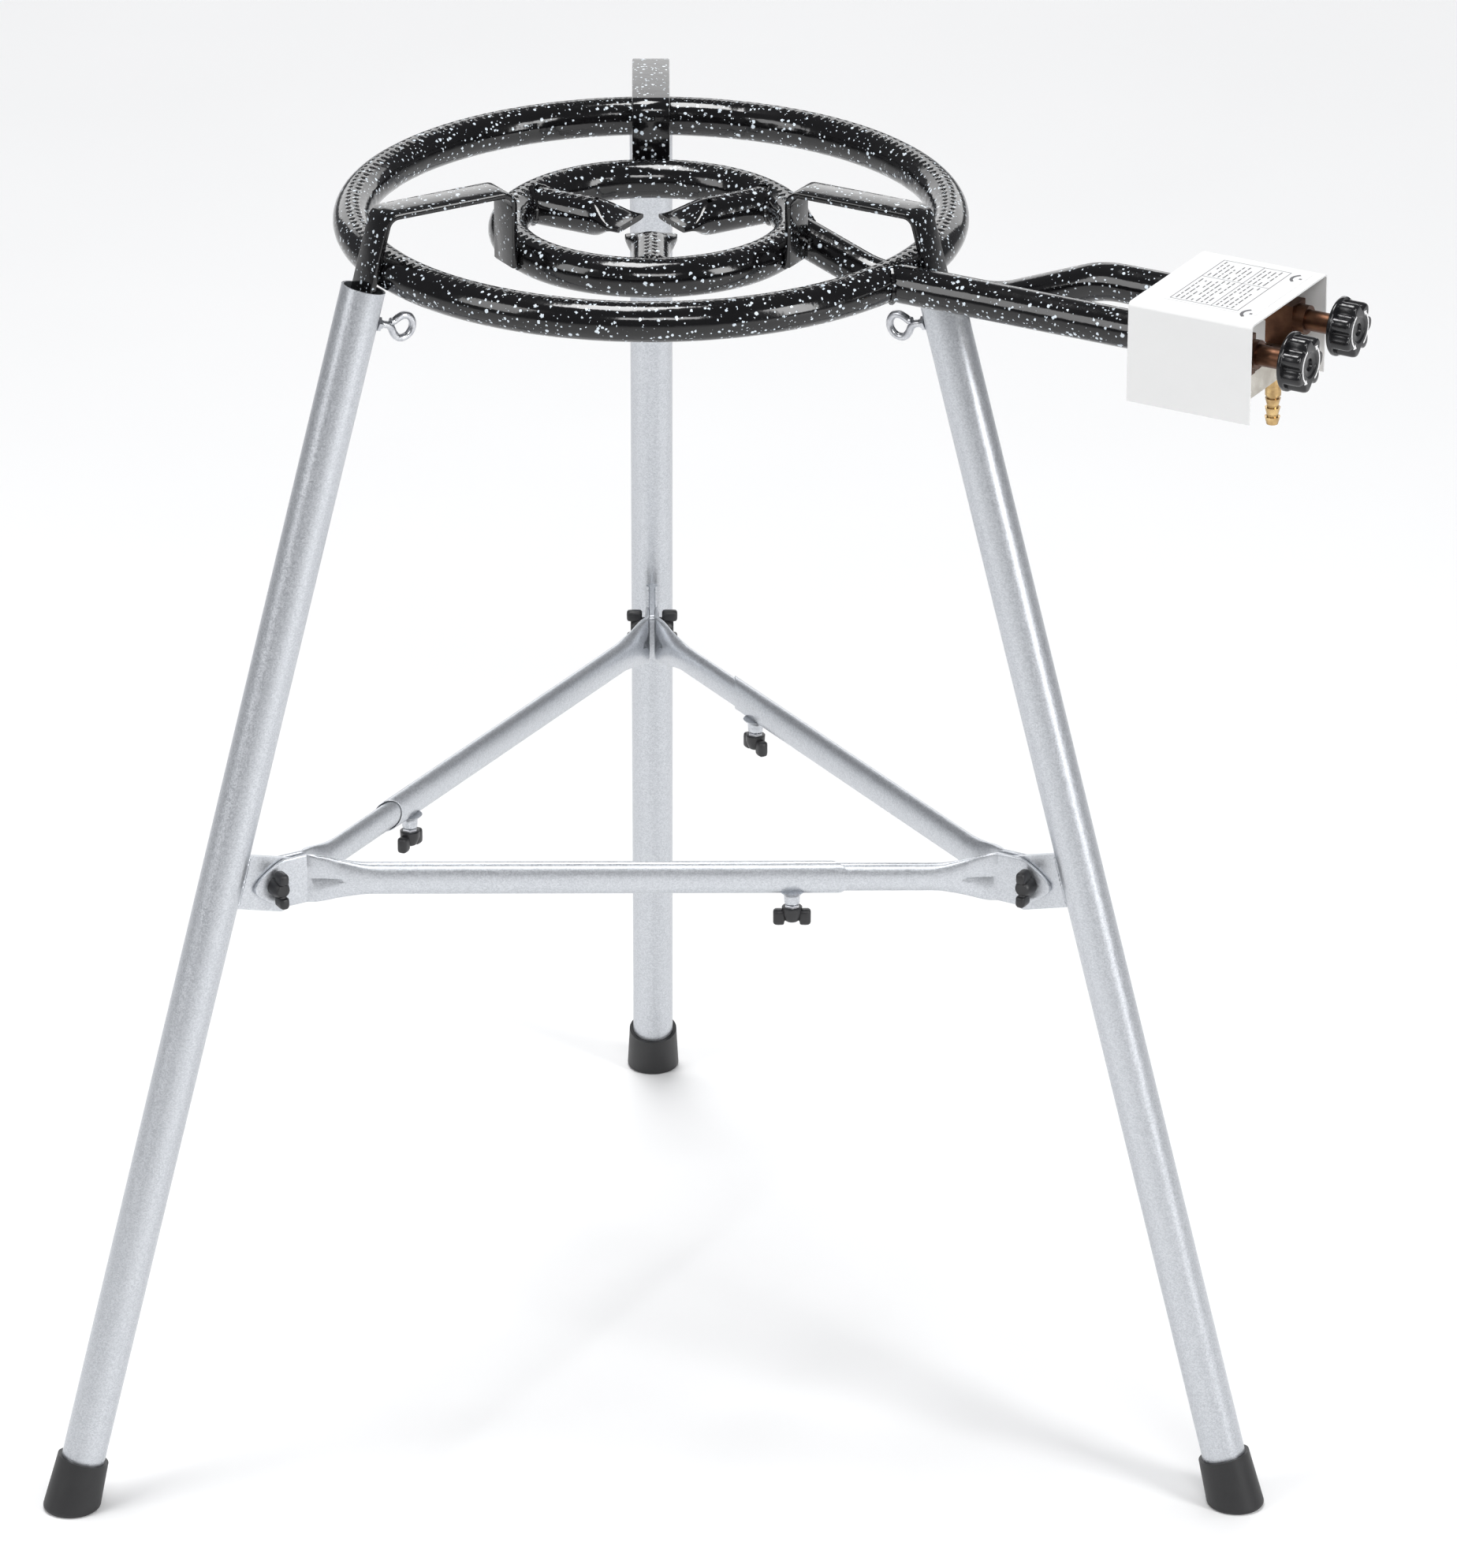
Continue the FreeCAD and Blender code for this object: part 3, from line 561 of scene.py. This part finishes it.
support_inner = inner_ring_r + tube_r + bar_thick / 2
support_mid = bar_top - bar_thick / 2
support_line = bent_line([(support_inner, inner_ring_z - 4), (support_inner, support_mid),
                          (leg_out(support_mid), support_mid),
                          (leg_out(outer_ring_z - bar_insert), outer_ring_z - bar_insert)], bar_bend)
for leg_name, leg_azimuth in legs:
    support = bmesh.new()
    support_rows = []
    last = len(support_line) - 1
    for k, point in enumerate(support_line):
        way = (support_line[min(k + 1, last)] - support_line[max(k - 1, 0)]).normalized()
        normal = Vector((-way.y, way.x))
        full = (point + way * (bar_edge * ((k == 0) - (k == last))), 0.0)
        small = (point, bar_edge)
        for at, inset in ((small, full) if k == 0 else (full, small) if k == last else (full,)):
            outline = bar_outline(bar_wide - 1.2 * inset, bar_thick - 1.2 * inset, bar_edge)
            row = [(at + normal * through, across) for across, through in outline]
            support_rows.append([spot(leg_azimuth, flat.x, across, flat.y) for flat, across in row])
    skin(support, support_rows)
    touch = Vector((outer_ring_r + tube_r * math.cos(lean) - 0.5, outer_ring_z + tube_r * math.sin(lean)))
    slope = Vector((math.sin(lean), -math.cos(lean)))
    inner_face = inner_ring_r + tube_r
    for at, half in ((Vector((inner_face - 0.3, inner_ring_z - 4.2)), 11.0),
                     (Vector((inner_face - 0.4, inner_ring_z + 5.4)), 11.0),
                     (touch - slope * 5.6, 10.0), (touch + slope * 5.6, 10.0)):
        bead = [spot(leg_azimuth, at.x, -half + 2 * half * k / (bar_bead_points - 1), at.y)
                for k in range(bar_bead_points)]
        skin(support, round_rows(bead, ripple(bar_bead_points, bar_bead_r), 8))
    make_piece("support_bar_" + leg_name, support, "burner", enamel,
               ("pan_support_" + leg_name,), 40.0)


# Valve cover: a channel of 1.2 mm steel sheet folded down both sides, spot-welded to the bracket
# inside it and powder-coated white. The coat has a fine orange peel.
cover_start = 360.0
cover_end = 443.0
cover_side = 5.0
cover_top = 828.0


def powder_coat(name, colour, shade, gloss):
    """A baked powder paint: slight patches of shade, and a fine orange peel."""
    material, shader, tree = new_material(name)
    place = object_place(tree)
    patches = noise(tree, place, 18.0, 4.0)
    dress(tree, shader, colour_mix(tree, patches, shade, colour),
          math_node(tree, "MULTIPLY_ADD", patches, 0.12, gloss), noise(tree, place, 900.0), 0.25, 0.0002)
    return material


white_paint = powder_coat("white_powder_coat", (0.80, 0.80, 0.79, 1), (0.74, 0.74, 0.74, 1), 0.30)
coat(white_paint, "valve_cover", "cover_bracket")

# Rating label: a thin plastic sticker on top of the cover, printed in black. Only plain rules,
# dashes and the turning marks for the two taps are drawn on it.
label_paper, label_shader, label_tree = new_material("label_film")
label_cloud = noise(label_tree, object_place(label_tree), 60.0)
dress(label_tree, label_shader,
      colour_mix(label_tree, label_cloud, (0.68, 0.68, 0.68, 1), (0.73, 0.73, 0.74, 1)), 0.35)
coat(label_paper, "cover_label")
print_ink, ink_shader, ink_tree = new_material("label_ink")
ink_cloud = noise(ink_tree, object_place(ink_tree), 800.0)
dress(ink_tree, ink_shader, colour_mix(ink_tree, ink_cloud, (0.05, 0.05, 0.055, 1), (0.12, 0.12, 0.13, 1)), 0.5)

label_height = cover_top + 0.2
label_rule = 0.5
label_dash = 0.9
label_rows = 12
label_row_gap = 3.4
label_first = (cover_start + 16, cover_side - 36)
label_last = (cover_end - 6, cover_side + 44)
ink = bmesh.new()


def ink_strip(points, wide):
    """A printed stroke along points given along and sideways on the label."""
    rows = []
    for k, point in enumerate(points):
        before = Vector(points[max(k - 1, 0)])
        after = Vector(points[min(k + 1, len(points) - 1)])
        way = (after - before).normalized() * wide / 2
        outer, inner = Vector(point) + Vector((-way.y, way.x)), Vector(point) - Vector((-way.y, way.x))
        rows.append([spot(control_azimuth, side.x, side.y, label_height + high)
                     for side, high in ((outer, -0.02), (outer, 0.03), (inner, 0.03), (inner, -0.02))])
    skin(ink, rows)


line_first, line_last = label_first[1] + 3, label_last[1] - 3
frame_first, frame_middle, frame_last = label_first[0] + 2.5, label_first[0] + 30, label_last[0] - 13
column_line = label_first[1] + 46
for line_at in (frame_first, frame_middle, frame_last):
    ink_strip([(line_at, line_first), (line_at, line_last)], label_rule)
for line_side in (line_first, column_line, line_last):
    ink_strip([(frame_first, line_side), (frame_last, line_side)], label_rule)
dash_lengths = (7, 4, 9, 5, 3, 8, 6, 4, 5, 10)
dash_turn = 0
for row_at in [label_first[0] + 5.5 + label_row_gap * k for k in range(label_rows)]:
    if abs(row_at - frame_middle) < 1.6:
        continue
    for column_start, column_end in ((line_first + 2, column_line - 2), (column_line + 2, line_last - 2)):
        dash_at = column_start
        while dash_at + 3 < column_end:
            dash = dash_lengths[dash_turn % len(dash_lengths)] * 0.8
            dash_turn += 1
            stop = min(dash_at + dash, column_end)
            ink_strip([(row_at, dash_at), (row_at, stop)], label_dash)
            dash_at = stop + 1.6
            if dash_turn % 7 == 0:
                dash_at += 6
for feed_name, feed_side in feed_sides.items():
    arc_at = (label_last[0] - 1.5, feed_side)
    arc = [(arc_at[0] - 7.5 * math.cos(math.radians(a)), arc_at[1] + 7.5 * math.sin(math.radians(a)))
           for a in range(-52, 53, 8)]
    ink_strip(arc, 2.0)
    dot = [(arc_at[0] - 3.0 + 0.9 * k, arc_at[1]) for k in range(3)]
    ink_strip(dot, 1.9)
make_piece("label_print", ink, "burner", print_ink)


# Gas rail and valves: a square nickel-plated rail fed by a barbed hose tail, with two brass taps
# # screwed into it. The taps' bodies are painted dark brown all over: painted shade and dark reflection from
# the knobs' skirts.
tarnish, tarnish_in, tarnish_out = make_group(
    "tarnish", (("Place", "NodeSocketVector", None), ("Patch size", "NodeSocketFloat", 140.0)),
    (("Mask", "NodeSocketFloat"), ("Fine", "NodeSocketFloat")))
tarnish_broad = noise(tarnish, tarnish_in.outputs["Place"], tarnish_in.outputs["Patch size"], 5.0)
tarnish_wear = math_node(tarnish, "MULTIPLY_ADD", tarnish_broad, 2.4, -0.7, clamp=True)
tarnish.links.new(tarnish_wear, tarnish_out.inputs[0])
tarnish.links.new(noise(tarnish, tarnish_in.outputs["Place"], 2600.0), tarnish_out.inputs[1])


def metal(name, bright, dull, smoothest, patch, grain=0.15, metallic=1.0):
    """A plated or bare metal with duller patches and fine tool marks."""
    material, shader, tree = new_material(name)
    shader.inputs["Metallic"].default_value = metallic
    wear = use_group(tree, tarnish, {"Place": object_place(tree), "Patch size": patch})
    dress(tree, shader, colour_mix(tree, wear.outputs[0], bright, dull),
          math_node(tree, "MULTIPLY_ADD", wear.outputs[0], 0.16, smoothest), wear.outputs[1], grain, 0.0001)
    return material


brass = metal("turned_brass", (0.70, 0.50, 0.24, 1), (0.30, 0.18, 0.08, 1), 0.24, 120.0)
# the valve bodies' very dark brown is painted shade from the knobs' skirts and the cover, not a browning of the
# brass
brass_painted_shade = metal("brass_with_painted_shade", (0.15, 0.075, 0.045, 1), (0.08, 0.038, 0.024, 1), 0.30, 110.0)
nickel = metal("nickel_plate", (0.72, 0.69, 0.62, 1), (0.50, 0.46, 0.40, 1), 0.22, 90.0)
coat(brass_painted_shade, "valve_body_outer", "valve_body_inner")
coat(brass, "injectors", "gas_inlet")
coat(nickel, "gas_rail", "rail_plug", "spindle_outer", "spindle_inner")


# Knobs: moulded black phenolic with seven finger lobes on a round skirt, pushed on the taps'
# flatted spindles. White turning arrows are filled into the face, round a sunk middle.
knob_back = 460.0
knob_lobes = 7
knob_sides = 98
mark_low = 14.25
mark_high = 14.6
mark_steps = 10


def plastic(name, dark, light, smoothest, grain_scale, grain, grain_deep=0.0001):
    """A moulding or paint: cloudy shade and gloss, and a fine grain."""
    material, shader, tree = new_material(name)
    place = object_place(tree)
    broad = noise(tree, place, 70.0, 4.0)
    dress(tree, shader, colour_mix(tree, broad, dark, light),
          math_node(tree, "MULTIPLY_ADD", broad, 0.18, smoothest),
          noise(tree, place, grain_scale, 3.0), grain, grain_deep)
    return material


phenolic = plastic("black_phenolic", (0.006, 0.006, 0.007, 1), (0.014, 0.014, 0.015, 1), 0.10, 500.0, 0.10)
knob_white = plastic("knob_fill_paint", (0.70, 0.70, 0.70, 1), (0.88, 0.88, 0.88, 1), 0.35, 900.0, 0.10)
knob_rows = ((0.0, 17.3, 0), (0.0, 18.0, 0), (0.5, 18.5, 0), (1.8, 18.5, 0), (2.4, 18.2, 0), (2.6, 17.5, 0.3),
             (2.9, 16.0, 1), (4.5, 15.8, 1), (8.0, 15.8, 1), (11.8, 15.8, 1), (13.2, 15.5, 1), (14.1, 14.9, 1),
             (14.5, 13.9, 0.9), (14.5, 12.8, 0.5), (14.4, 9.0, 0), (14.2, 8.0, 0), (13.7, 7.6, 0),
             (13.5, 7.0, 0),
             (13.5, 4.8, 0), (13.2, 4.0, 0), (12.0, 3.6, 0), (11.9, 1.2, 0))
for feed_name, feed_side in feed_sides.items():
    knob = bmesh.new()
    rows = []
    for run, radius, lobed in knob_rows:
        row = []
        for k in range(knob_sides):
            turn = math.tau * k / knob_sides
            out = radius + lobed * (2.0 * math.cos(knob_lobes * turn) - 0.35 * math.cos(2 * knob_lobes * turn))
            row.append(spot(control_azimuth, knob_back + run, feed_side + out * math.cos(turn),
                            outer_ring_z + out * math.sin(turn)))
        rows.append(row)
    skin(knob, rows)
    make_piece("lobed_knob_" + feed_name, knob, feed_name + "_knob", phenolic,
               ("knob_" + feed_name,), 50.0)
    knob_marks = bmesh.new()
    for first, last in ((-62, 50), (118, 230)):
        for start, end, middle, half, end_half in ((first, last, 11.5, 0.6, 0.6),
                                                   (last, last + 16, 11.4, 1.8, 0.072)):
            rows = []
            for k in range(mark_steps + 1):
                turn = math.radians(start + (end - start) * k / mark_steps)
                reach = half + (end_half - half) * k / mark_steps
                rows.append([spot(control_azimuth, knob_back + run, feed_side + out * math.cos(turn),
                                  outer_ring_z + out * math.sin(turn))
                             for out, run in ((middle - reach, mark_low), (middle + reach, mark_low),
                                              (middle + reach, mark_high), (middle - reach, mark_high))])
            skin(knob_marks, rows)
    make_piece("knob_marks_" + feed_name, knob_marks, feed_name + "_knob", knob_white)


# Legs: three straight 28 mm steel tubes, open at the top, in silver stoving paint. The paint has
# a fine aluminium flake and lies a little thicker in soft runs along the tube.
leg_r = 14.0
flake, flake_in, flake_out = make_group(
    "flake", (("Place", "NodeSocketVector", None),),
    (("Sparkle", "NodeSocketFloat"), ("Cloud", "NodeSocketFloat"), ("Peel", "NodeSocketFloat")))
flake_cells = add(flake, "ShaderNodeTexVoronoi", {"Vector": flake_in.outputs["Place"], "Scale": 1300.0})
flake_split = add(flake, "ShaderNodeSeparateColor", {0: flake_cells.outputs["Color"]})
flake.links.new(flake_split.outputs[0], flake_out.inputs[0])
flake.links.new(noise(flake, flake_in.outputs["Place"], 24.0, 5.0), flake_out.inputs[1])
flake.links.new(noise(flake, flake_in.outputs["Place"], 520.0), flake_out.inputs[2])

silver, silver_shader, silver_tree = new_material("silver_stoving_paint")
silver_shader.inputs["Metallic"].default_value = 0.82
silver_flake = use_group(silver_tree, flake, {"Place": object_place(silver_tree)})
sparkle, cloud, peel = silver_flake.outputs
silver_base = colour_mix(silver_tree, sparkle, (0.48, 0.50, 0.53, 1), (0.68, 0.70, 0.73, 1))
silver_clouded = math_node(silver_tree, "MULTIPLY_ADD", cloud, 0.5, -0.05, clamp=True)
dress(silver_tree, silver_shader, colour_mix(silver_tree, silver_clouded, silver_base, (0.60, 0.62, 0.65, 1)),
      math_node(silver_tree, "MULTIPLY_ADD", sparkle, 0.12, 0.30),
      math_node(silver_tree, "MULTIPLY_ADD", sparkle, 0.4, peel), 0.30, 0.00018)

for leg_name, leg_azimuth in legs:
    coat(silver, "leg_tube_" + leg_name, "brace_tab_" + leg_name)


# Tab welds: each brace tab stands on its leg in two fillet welds, run down both sides before the
# silver paint went on.
bolt_height = 405.0
tab_from_axis = 38.0
tab_height = bolt_height + tab_from_axis * math.sin(lean)
tab_half = 16.5
tab_bead_side = 2.3
tab_bead_r = 1.7
tab_bead_points = 34
for leg_name, leg_azimuth in legs:
    tab_bead = bmesh.new()
    for side in (-tab_bead_side, tab_bead_side):
        path = []
        for k in range(tab_bead_points):
            run = -tab_half + 2 * tab_half * k / (tab_bead_points - 1)
            out = leg_out(tab_height) + run * math.sin(lean) - (leg_r + 0.1) * math.cos(lean)
            height = tab_height - run * math.cos(lean) - leg_r * math.sin(lean)
            path.append(spot(leg_azimuth, out, side, height))
        skin(tab_bead, round_rows(path, ripple(tab_bead_points, tab_bead_r), 8))
    make_piece("tab_weld_" + leg_name, tab_bead, "leg_" + leg_name, silver)


# Eye screws: 6 mm zinc-plated wire, threaded to pinch the support bar inside the leg, its outer
# end bent into a heart-shaped eye for the fingers.
leg_top = 793.5
clamp_down = 22.0
clamp_out = leg_out(leg_top) + clamp_down * math.sin(lean)
clamp_height = leg_top - clamp_down * math.cos(lean)
zinc = metal("zinc_plate", (0.66, 0.67, 0.69, 1), (0.46, 0.47, 0.50, 1), 0.22, 200.0)
coat(zinc, *["clamp_nut_" + leg_name for leg_name, leg_azimuth in legs])


def thread(bm, start, way, length, radius, pitch=1.0, deep=0.32, sides=14):
    """A threaded rod: a real helix, cut into its skin."""
    side = way.orthogonal().normalized()
    other = way.cross(side)
    rows = []
    count = int(length / pitch * 4)
    for k in range(count + 1):
        row = []
        for s in range(sides):
            turn = math.tau * s / sides
            phase = (k / 4 + s / sides) % 1.0
            out = radius - deep * abs(2 * phase - 1)
            around = side * math.cos(turn) + other * math.sin(turn)
            row.append(start + (way * (k * pitch / 4) + around * out) * mm)
        rows.append(row)
    skin(bm, rows)


def smooth_line(points, steps=6):
    """A soft curve through points."""
    line = []
    for k in range(len(points) - 1):
        a, b = points[max(k - 1, 0)], points[k]
        c, d = points[k + 1], points[min(k + 2, len(points) - 1)]
        for s in range(steps):
            t = s / steps
            line.append(0.5 * ((2 * b) + (c - a) * t + (2 * a - 5 * b + 4 * c - d) * t * t
                               + (3 * b - 3 * c + d - a) * t ** 3))
    return line + [points[-1]]


eye_shape = ((18.0, 0.0), (23.5, 0.0), (26.5, -1.6), (29.0, -4.8), (32.5, -7.2), (36.5, -7.0), (39.8, -4.4),
             (41.3, -0.4), (40.4, 3.9), (37.2, 7.0), (33.0, 7.2), (29.4, 4.9), (26.9, 2.6), (24.6, 2.2))


def in_leg(azimuth, inward, up):
    """A point in a leg's own plane, inward from its axis and up, square to the eye screw."""
    return spot(azimuth, clamp_out - inward * math.cos(lean) - up * math.sin(lean), 0,
                clamp_height - inward * math.sin(lean) + up * math.cos(lean))


for leg_name, leg_azimuth in legs:
    eye = bmesh.new()
    inward_way = (in_leg(leg_azimuth, 10, 0) - in_leg(leg_azimuth, 0, 0)).normalized()
    thread(eye, in_leg(leg_azimuth, 2.4, 0), inward_way, 17.0, 3.0)
    wire = smooth_line([in_leg(leg_azimuth, inward, up) for inward, up in eye_shape])
    skin(eye, round_rows(wire, [2.45] * (len(wire) - 1) + [1.6], 14))
    collar = [in_leg(leg_azimuth, inward, 0) for inward in (14.6, 15.0, 17.2, 17.6)]
    skin(eye, round_rows(collar, [4.2, 5.0, 5.0, 4.2], 6))
    make_piece("eye_wire_" + leg_name, eye, "eye_" + leg_name, zinc, ("eye_screw_" + leg_name,), 35.0)


# Foot caps: soft black rubber mouldings pushed on the leg ends, with a matt, dusty skin. They
# are plain enough to keep the shape of the solids.
rubber = plastic("foot_rubber", (0.010, 0.010, 0.011, 1), (0.022, 0.022, 0.023, 1), 0.38, 700.0, 0.30, 0.0002)
for leg_name, leg_azimuth in legs:
    coat(rubber, "foot_cap_" + leg_name)


# Braces: a 22 mm tube bolted to one leg, and a 19 mm tube from the next leg sliding inside it.
# Each tube's end is pressed flat to a pointed tongue, which leaves creases where it opens out.
bolt_out = leg_out(tab_height) - tab_from_axis * math.cos(lean)
outer_brace_r = 11.0
outer_brace_lip = 0.7
inner_brace_r = 9.5
inner_brace_lip = 1.5
dent_length = 0.5
brace_crease = 24.0
tongue_thick = 3.0
tongue_high = 33.0
tongue_reach = 22.0
tongue_gap = 3.1
neck = 40.0
neck_steps = 22
brace_sides = 48
brace_turn = math.radians(30)
outer_brace_end = 354.0
inner_brace_end = 205.0
outer_brace_run = outer_brace_end - tongue_reach * math.cos(brace_turn)
inner_brace_run = math.sqrt(3) * bolt_out - inner_brace_end - tongue_reach * math.cos(brace_turn)


def pressed_brace(azimuth, start_side, radius, run, wall):
    """The tongue, the creased neck and the round tube, out to its open end."""
    bend_out = bolt_out - tongue_reach
    offset = tongue_gap * start_side
    out_way, side_way = -math.cos(brace_turn), start_side * math.sin(brace_turn)
    bm = bmesh.new()
    rows = []

    def section(out, side, normal_out, normal_side, wide, thick, dent=0.0, dent_wide=0.1, power=2.0):
        row = []
        for k in range(brace_sides):
            turn = math.tau * k / brace_sides
            c, s = math.cos(turn), math.sin(turn)
            up = math.copysign(abs(c) ** (2 / power), c) * wide / 2
            through = math.copysign(abs(s) ** (2 / power), s) * thick / 2
            through *= 1 - dent * max(1 - abs(up) / (wide * 0.5 * dent_wide + 0.1), 0.0)
            row.append(spot(azimuth, out + normal_out * through, side + normal_side * through,
                            bolt_height + up))
        rows.append(row)

    for x in (15.0, 14.6, 13.4, 11.4, 8.6, 5.0, 1.0, -3.0, -6.0, -14.0, -21.0):
        high = tongue_high * min(max((15.4 - x) / 20.4, 0.02) ** 0.62, 1.0)
        thick = tongue_thick if x < 14.8 else tongue_thick * 0.6
        section(bolt_out + x, offset, 0.0, 1.0, high, thick, power=5.0)
    normal_out, normal_side = -side_way, -out_way
    for k in range(neck_steps + 1):
        share = k / neck_steps
        turned = ease(share * 3.6)
        wide = tongue_high + (2 * radius - tongue_high) * ease(share) ** 0.9
        thick = tongue_thick + (2 * radius - tongue_thick) * (1 - (1 - share) ** 1.9)
        left = max(1 - share / dent_length, 0.0)
        dent = 0.92 * left ** 0.5 * min(share * 30, 1.0)
        dent_wide = 0.44 * left
        power = 5.0 - 3.0 * ease(share * 2.2)
        mix_out, mix_side = normal_out * turned, normal_side * turned + (1 - turned)
        size = math.hypot(mix_out, mix_side)
        reach = neck * share
        section(bend_out + out_way * reach, offset + side_way * reach, mix_out / size, mix_side / size,
                wide, thick, dent, dent_wide, power)
    for reach, out_r in ((neck + 40, radius), (run - 60, radius), (run - 0.5, radius), (run, radius - 0.3),
                         (run, radius - wall + 0.2), (run - 0.4, radius - wall), (run - 25, radius - wall)):
        section(bend_out + out_way * reach, offset + side_way * reach, normal_out, normal_side,
                2 * out_r, 2 * out_r)
    skin(bm, rows)
    return bm


for leg_name, leg_azimuth in legs:
    outer_brace = pressed_brace(leg_azimuth, 1, outer_brace_r, outer_brace_run, outer_brace_lip)
    make_piece("outer_brace_" + leg_name, outer_brace, "strut_" + leg_name, silver,
               ("brace_outer_" + leg_name,), brace_crease)
    inner_brace = pressed_brace(leg_azimuth + 120, -1, inner_brace_r, inner_brace_run, inner_brace_lip)
    make_piece("inner_brace_" + leg_name, inner_brace, "strut_slide_" + leg_name, silver,
               ("brace_inner_" + leg_name,), brace_crease)


# Wing screws: M6 screws with moulded black nylon grips. At each tab a screw and a wing nut clamp
# the two tongues, and under each brace a third one locks the inner tube.
nylon = plastic("black_nylon", (0.012, 0.012, 0.013, 1), (0.026, 0.026, 0.028, 1), 0.30, 1500.0, 0.25)
wing_sections = ((3.5, 2.2, 2.8, 9.2), (4.7, 2.5, 2.6, 10.0), (5.1, 3.0, 2.3, 12.0), (6.0, 3.2, 2.0, 12.4),
                 (8.6, 3.3, 2.0, 12.5), (10.4, 3.1, 2.0, 12.4), (11.5, 2.4, 2.5, 11.9), (12.0, 1.3, 3.4, 11.0))
wing_turns = [math.tau * (k + 0.5) / 20 for k in range(20)]
wing_outline = [(math.copysign(abs(math.cos(a)) ** 0.55, math.cos(a)),
                 math.copysign(abs(math.sin(a)) ** 0.4, math.sin(a))) for a in wing_turns]
grip_hub = ((0.0, 5.9), (0.4, 6.5), (4.5, 6.3), (7.6, 5.2), (9.2, 4.6), (9.8, 3.9), (9.8, 0.8))


def turned(bm, base, way, side, profile, sides):
    """A turned shape on an axis: its profile gives runs along way and the radius at each."""
    other = way.cross(side)
    turns = [math.tau * k / sides for k in range(sides)]
    skin(bm, [[base + (way * run + (side * math.cos(a) + other * math.sin(a)) * out) * mm for a in turns]
              for run, out in profile])


def wing_grip(bm, base, way, wing_way):
    """A hub with two rounded ears that stand past it, its foot on base and its axis along way."""
    turned(bm, base, way, wing_way, grip_hub, 28)
    side_way = way.cross(wing_way)
    for sign in (-1, 1):
        rows = []
        for reach, half, low, high in wing_sections:
            middle = base + (wing_way * (sign * reach) + way * ((low + high) / 2)) * mm
            tall = (high - low) / 2
            rows.append([middle + (side_way * (a * half) + way * (b * tall)) * mm for a, b in wing_outline])
        skin(bm, rows)


tab_thick = 3.0
play = 0.1
pile = tab_thick / 2 + tongue_thick + 2 * play
screw_r = 3.0
lock_from_end = 27.0
lock_reach = outer_brace_run - lock_from_end
lock_out = bolt_out - tongue_reach - math.cos(brace_turn) * lock_reach
lock_side = tongue_gap + math.sin(brace_turn) * lock_reach
boss_profile = ((9.2, 3.0), (9.2, 8.2), (10.7, 6.9), (11.6, 5.7), (13.0, 5.1), (17.6, 4.9), (18.0, 4.5),
                (18.0, 3.0))
lock_collar = ((18.9, 3.0), (18.9, 4.6), (19.3, 5.0), (21.2, 5.0))
upright = Vector((0, 0, 1))
for leg_name, leg_azimuth in legs:
    middle = spot(leg_azimuth, 0, 0, 0)
    side_dir = (spot(leg_azimuth, 0, 10, 0) - middle).normalized()
    out_dir = (spot(leg_azimuth, 10, 0, 0) - middle).normalized()
    brace_dir = (spot(leg_azimuth, -math.cos(brace_turn), math.sin(brace_turn), 0) - middle).normalized()
    head = bmesh.new()
    wing_grip(head, spot(leg_azimuth, bolt_out, pile, bolt_height), side_dir, upright)
    make_piece("wing_head_" + leg_name, head, "tab_bolt_" + leg_name, nylon,
               ("tab_wing_head_" + leg_name,))
    nut = bmesh.new()
    wing_grip(nut, spot(leg_azimuth, bolt_out, -pile, bolt_height), -side_dir, upright)
    make_piece("wing_nut_" + leg_name, nut, "tab_nut_" + leg_name, nylon,
               ("tab_wing_nut_" + leg_name,))
    screw = bmesh.new()
    thread(screw, spot(leg_azimuth, bolt_out, -pile - 9.0, bolt_height), side_dir, 2 * pile + 16.5, screw_r)
    make_piece("clamp_screw_" + leg_name, screw, "tab_bolt_" + leg_name, zinc,
               ("tab_screw_" + leg_name,))
    lock_at = spot(leg_azimuth, lock_out, lock_side, bolt_height)
    boss = bmesh.new()
    turned(boss, lock_at, -upright, out_dir, boss_profile, 28)
    make_piece("lock_nut_" + leg_name, boss, "strut_" + leg_name, silver,
               ("lock_boss_" + leg_name,))
    lock_grip = bmesh.new()
    wing_grip(lock_grip, lock_at - upright * ((outer_brace_r + 9.5) * mm), -upright, brace_dir)
    make_piece("lock_grip_" + leg_name, lock_grip, "lock_" + leg_name, nylon,
               ("lock_wing_" + leg_name,))
    lock_rod = bmesh.new()
    thread(lock_rod, lock_at - upright * ((inner_brace_r + 0.35) * mm), -upright, 17.0, screw_r)
    turned(lock_rod, lock_at, -upright, out_dir, lock_collar, 6)
    make_piece("lock_thread_" + leg_name, lock_rod, "lock_" + leg_name, zinc,
               ("lock_screw_" + leg_name,))
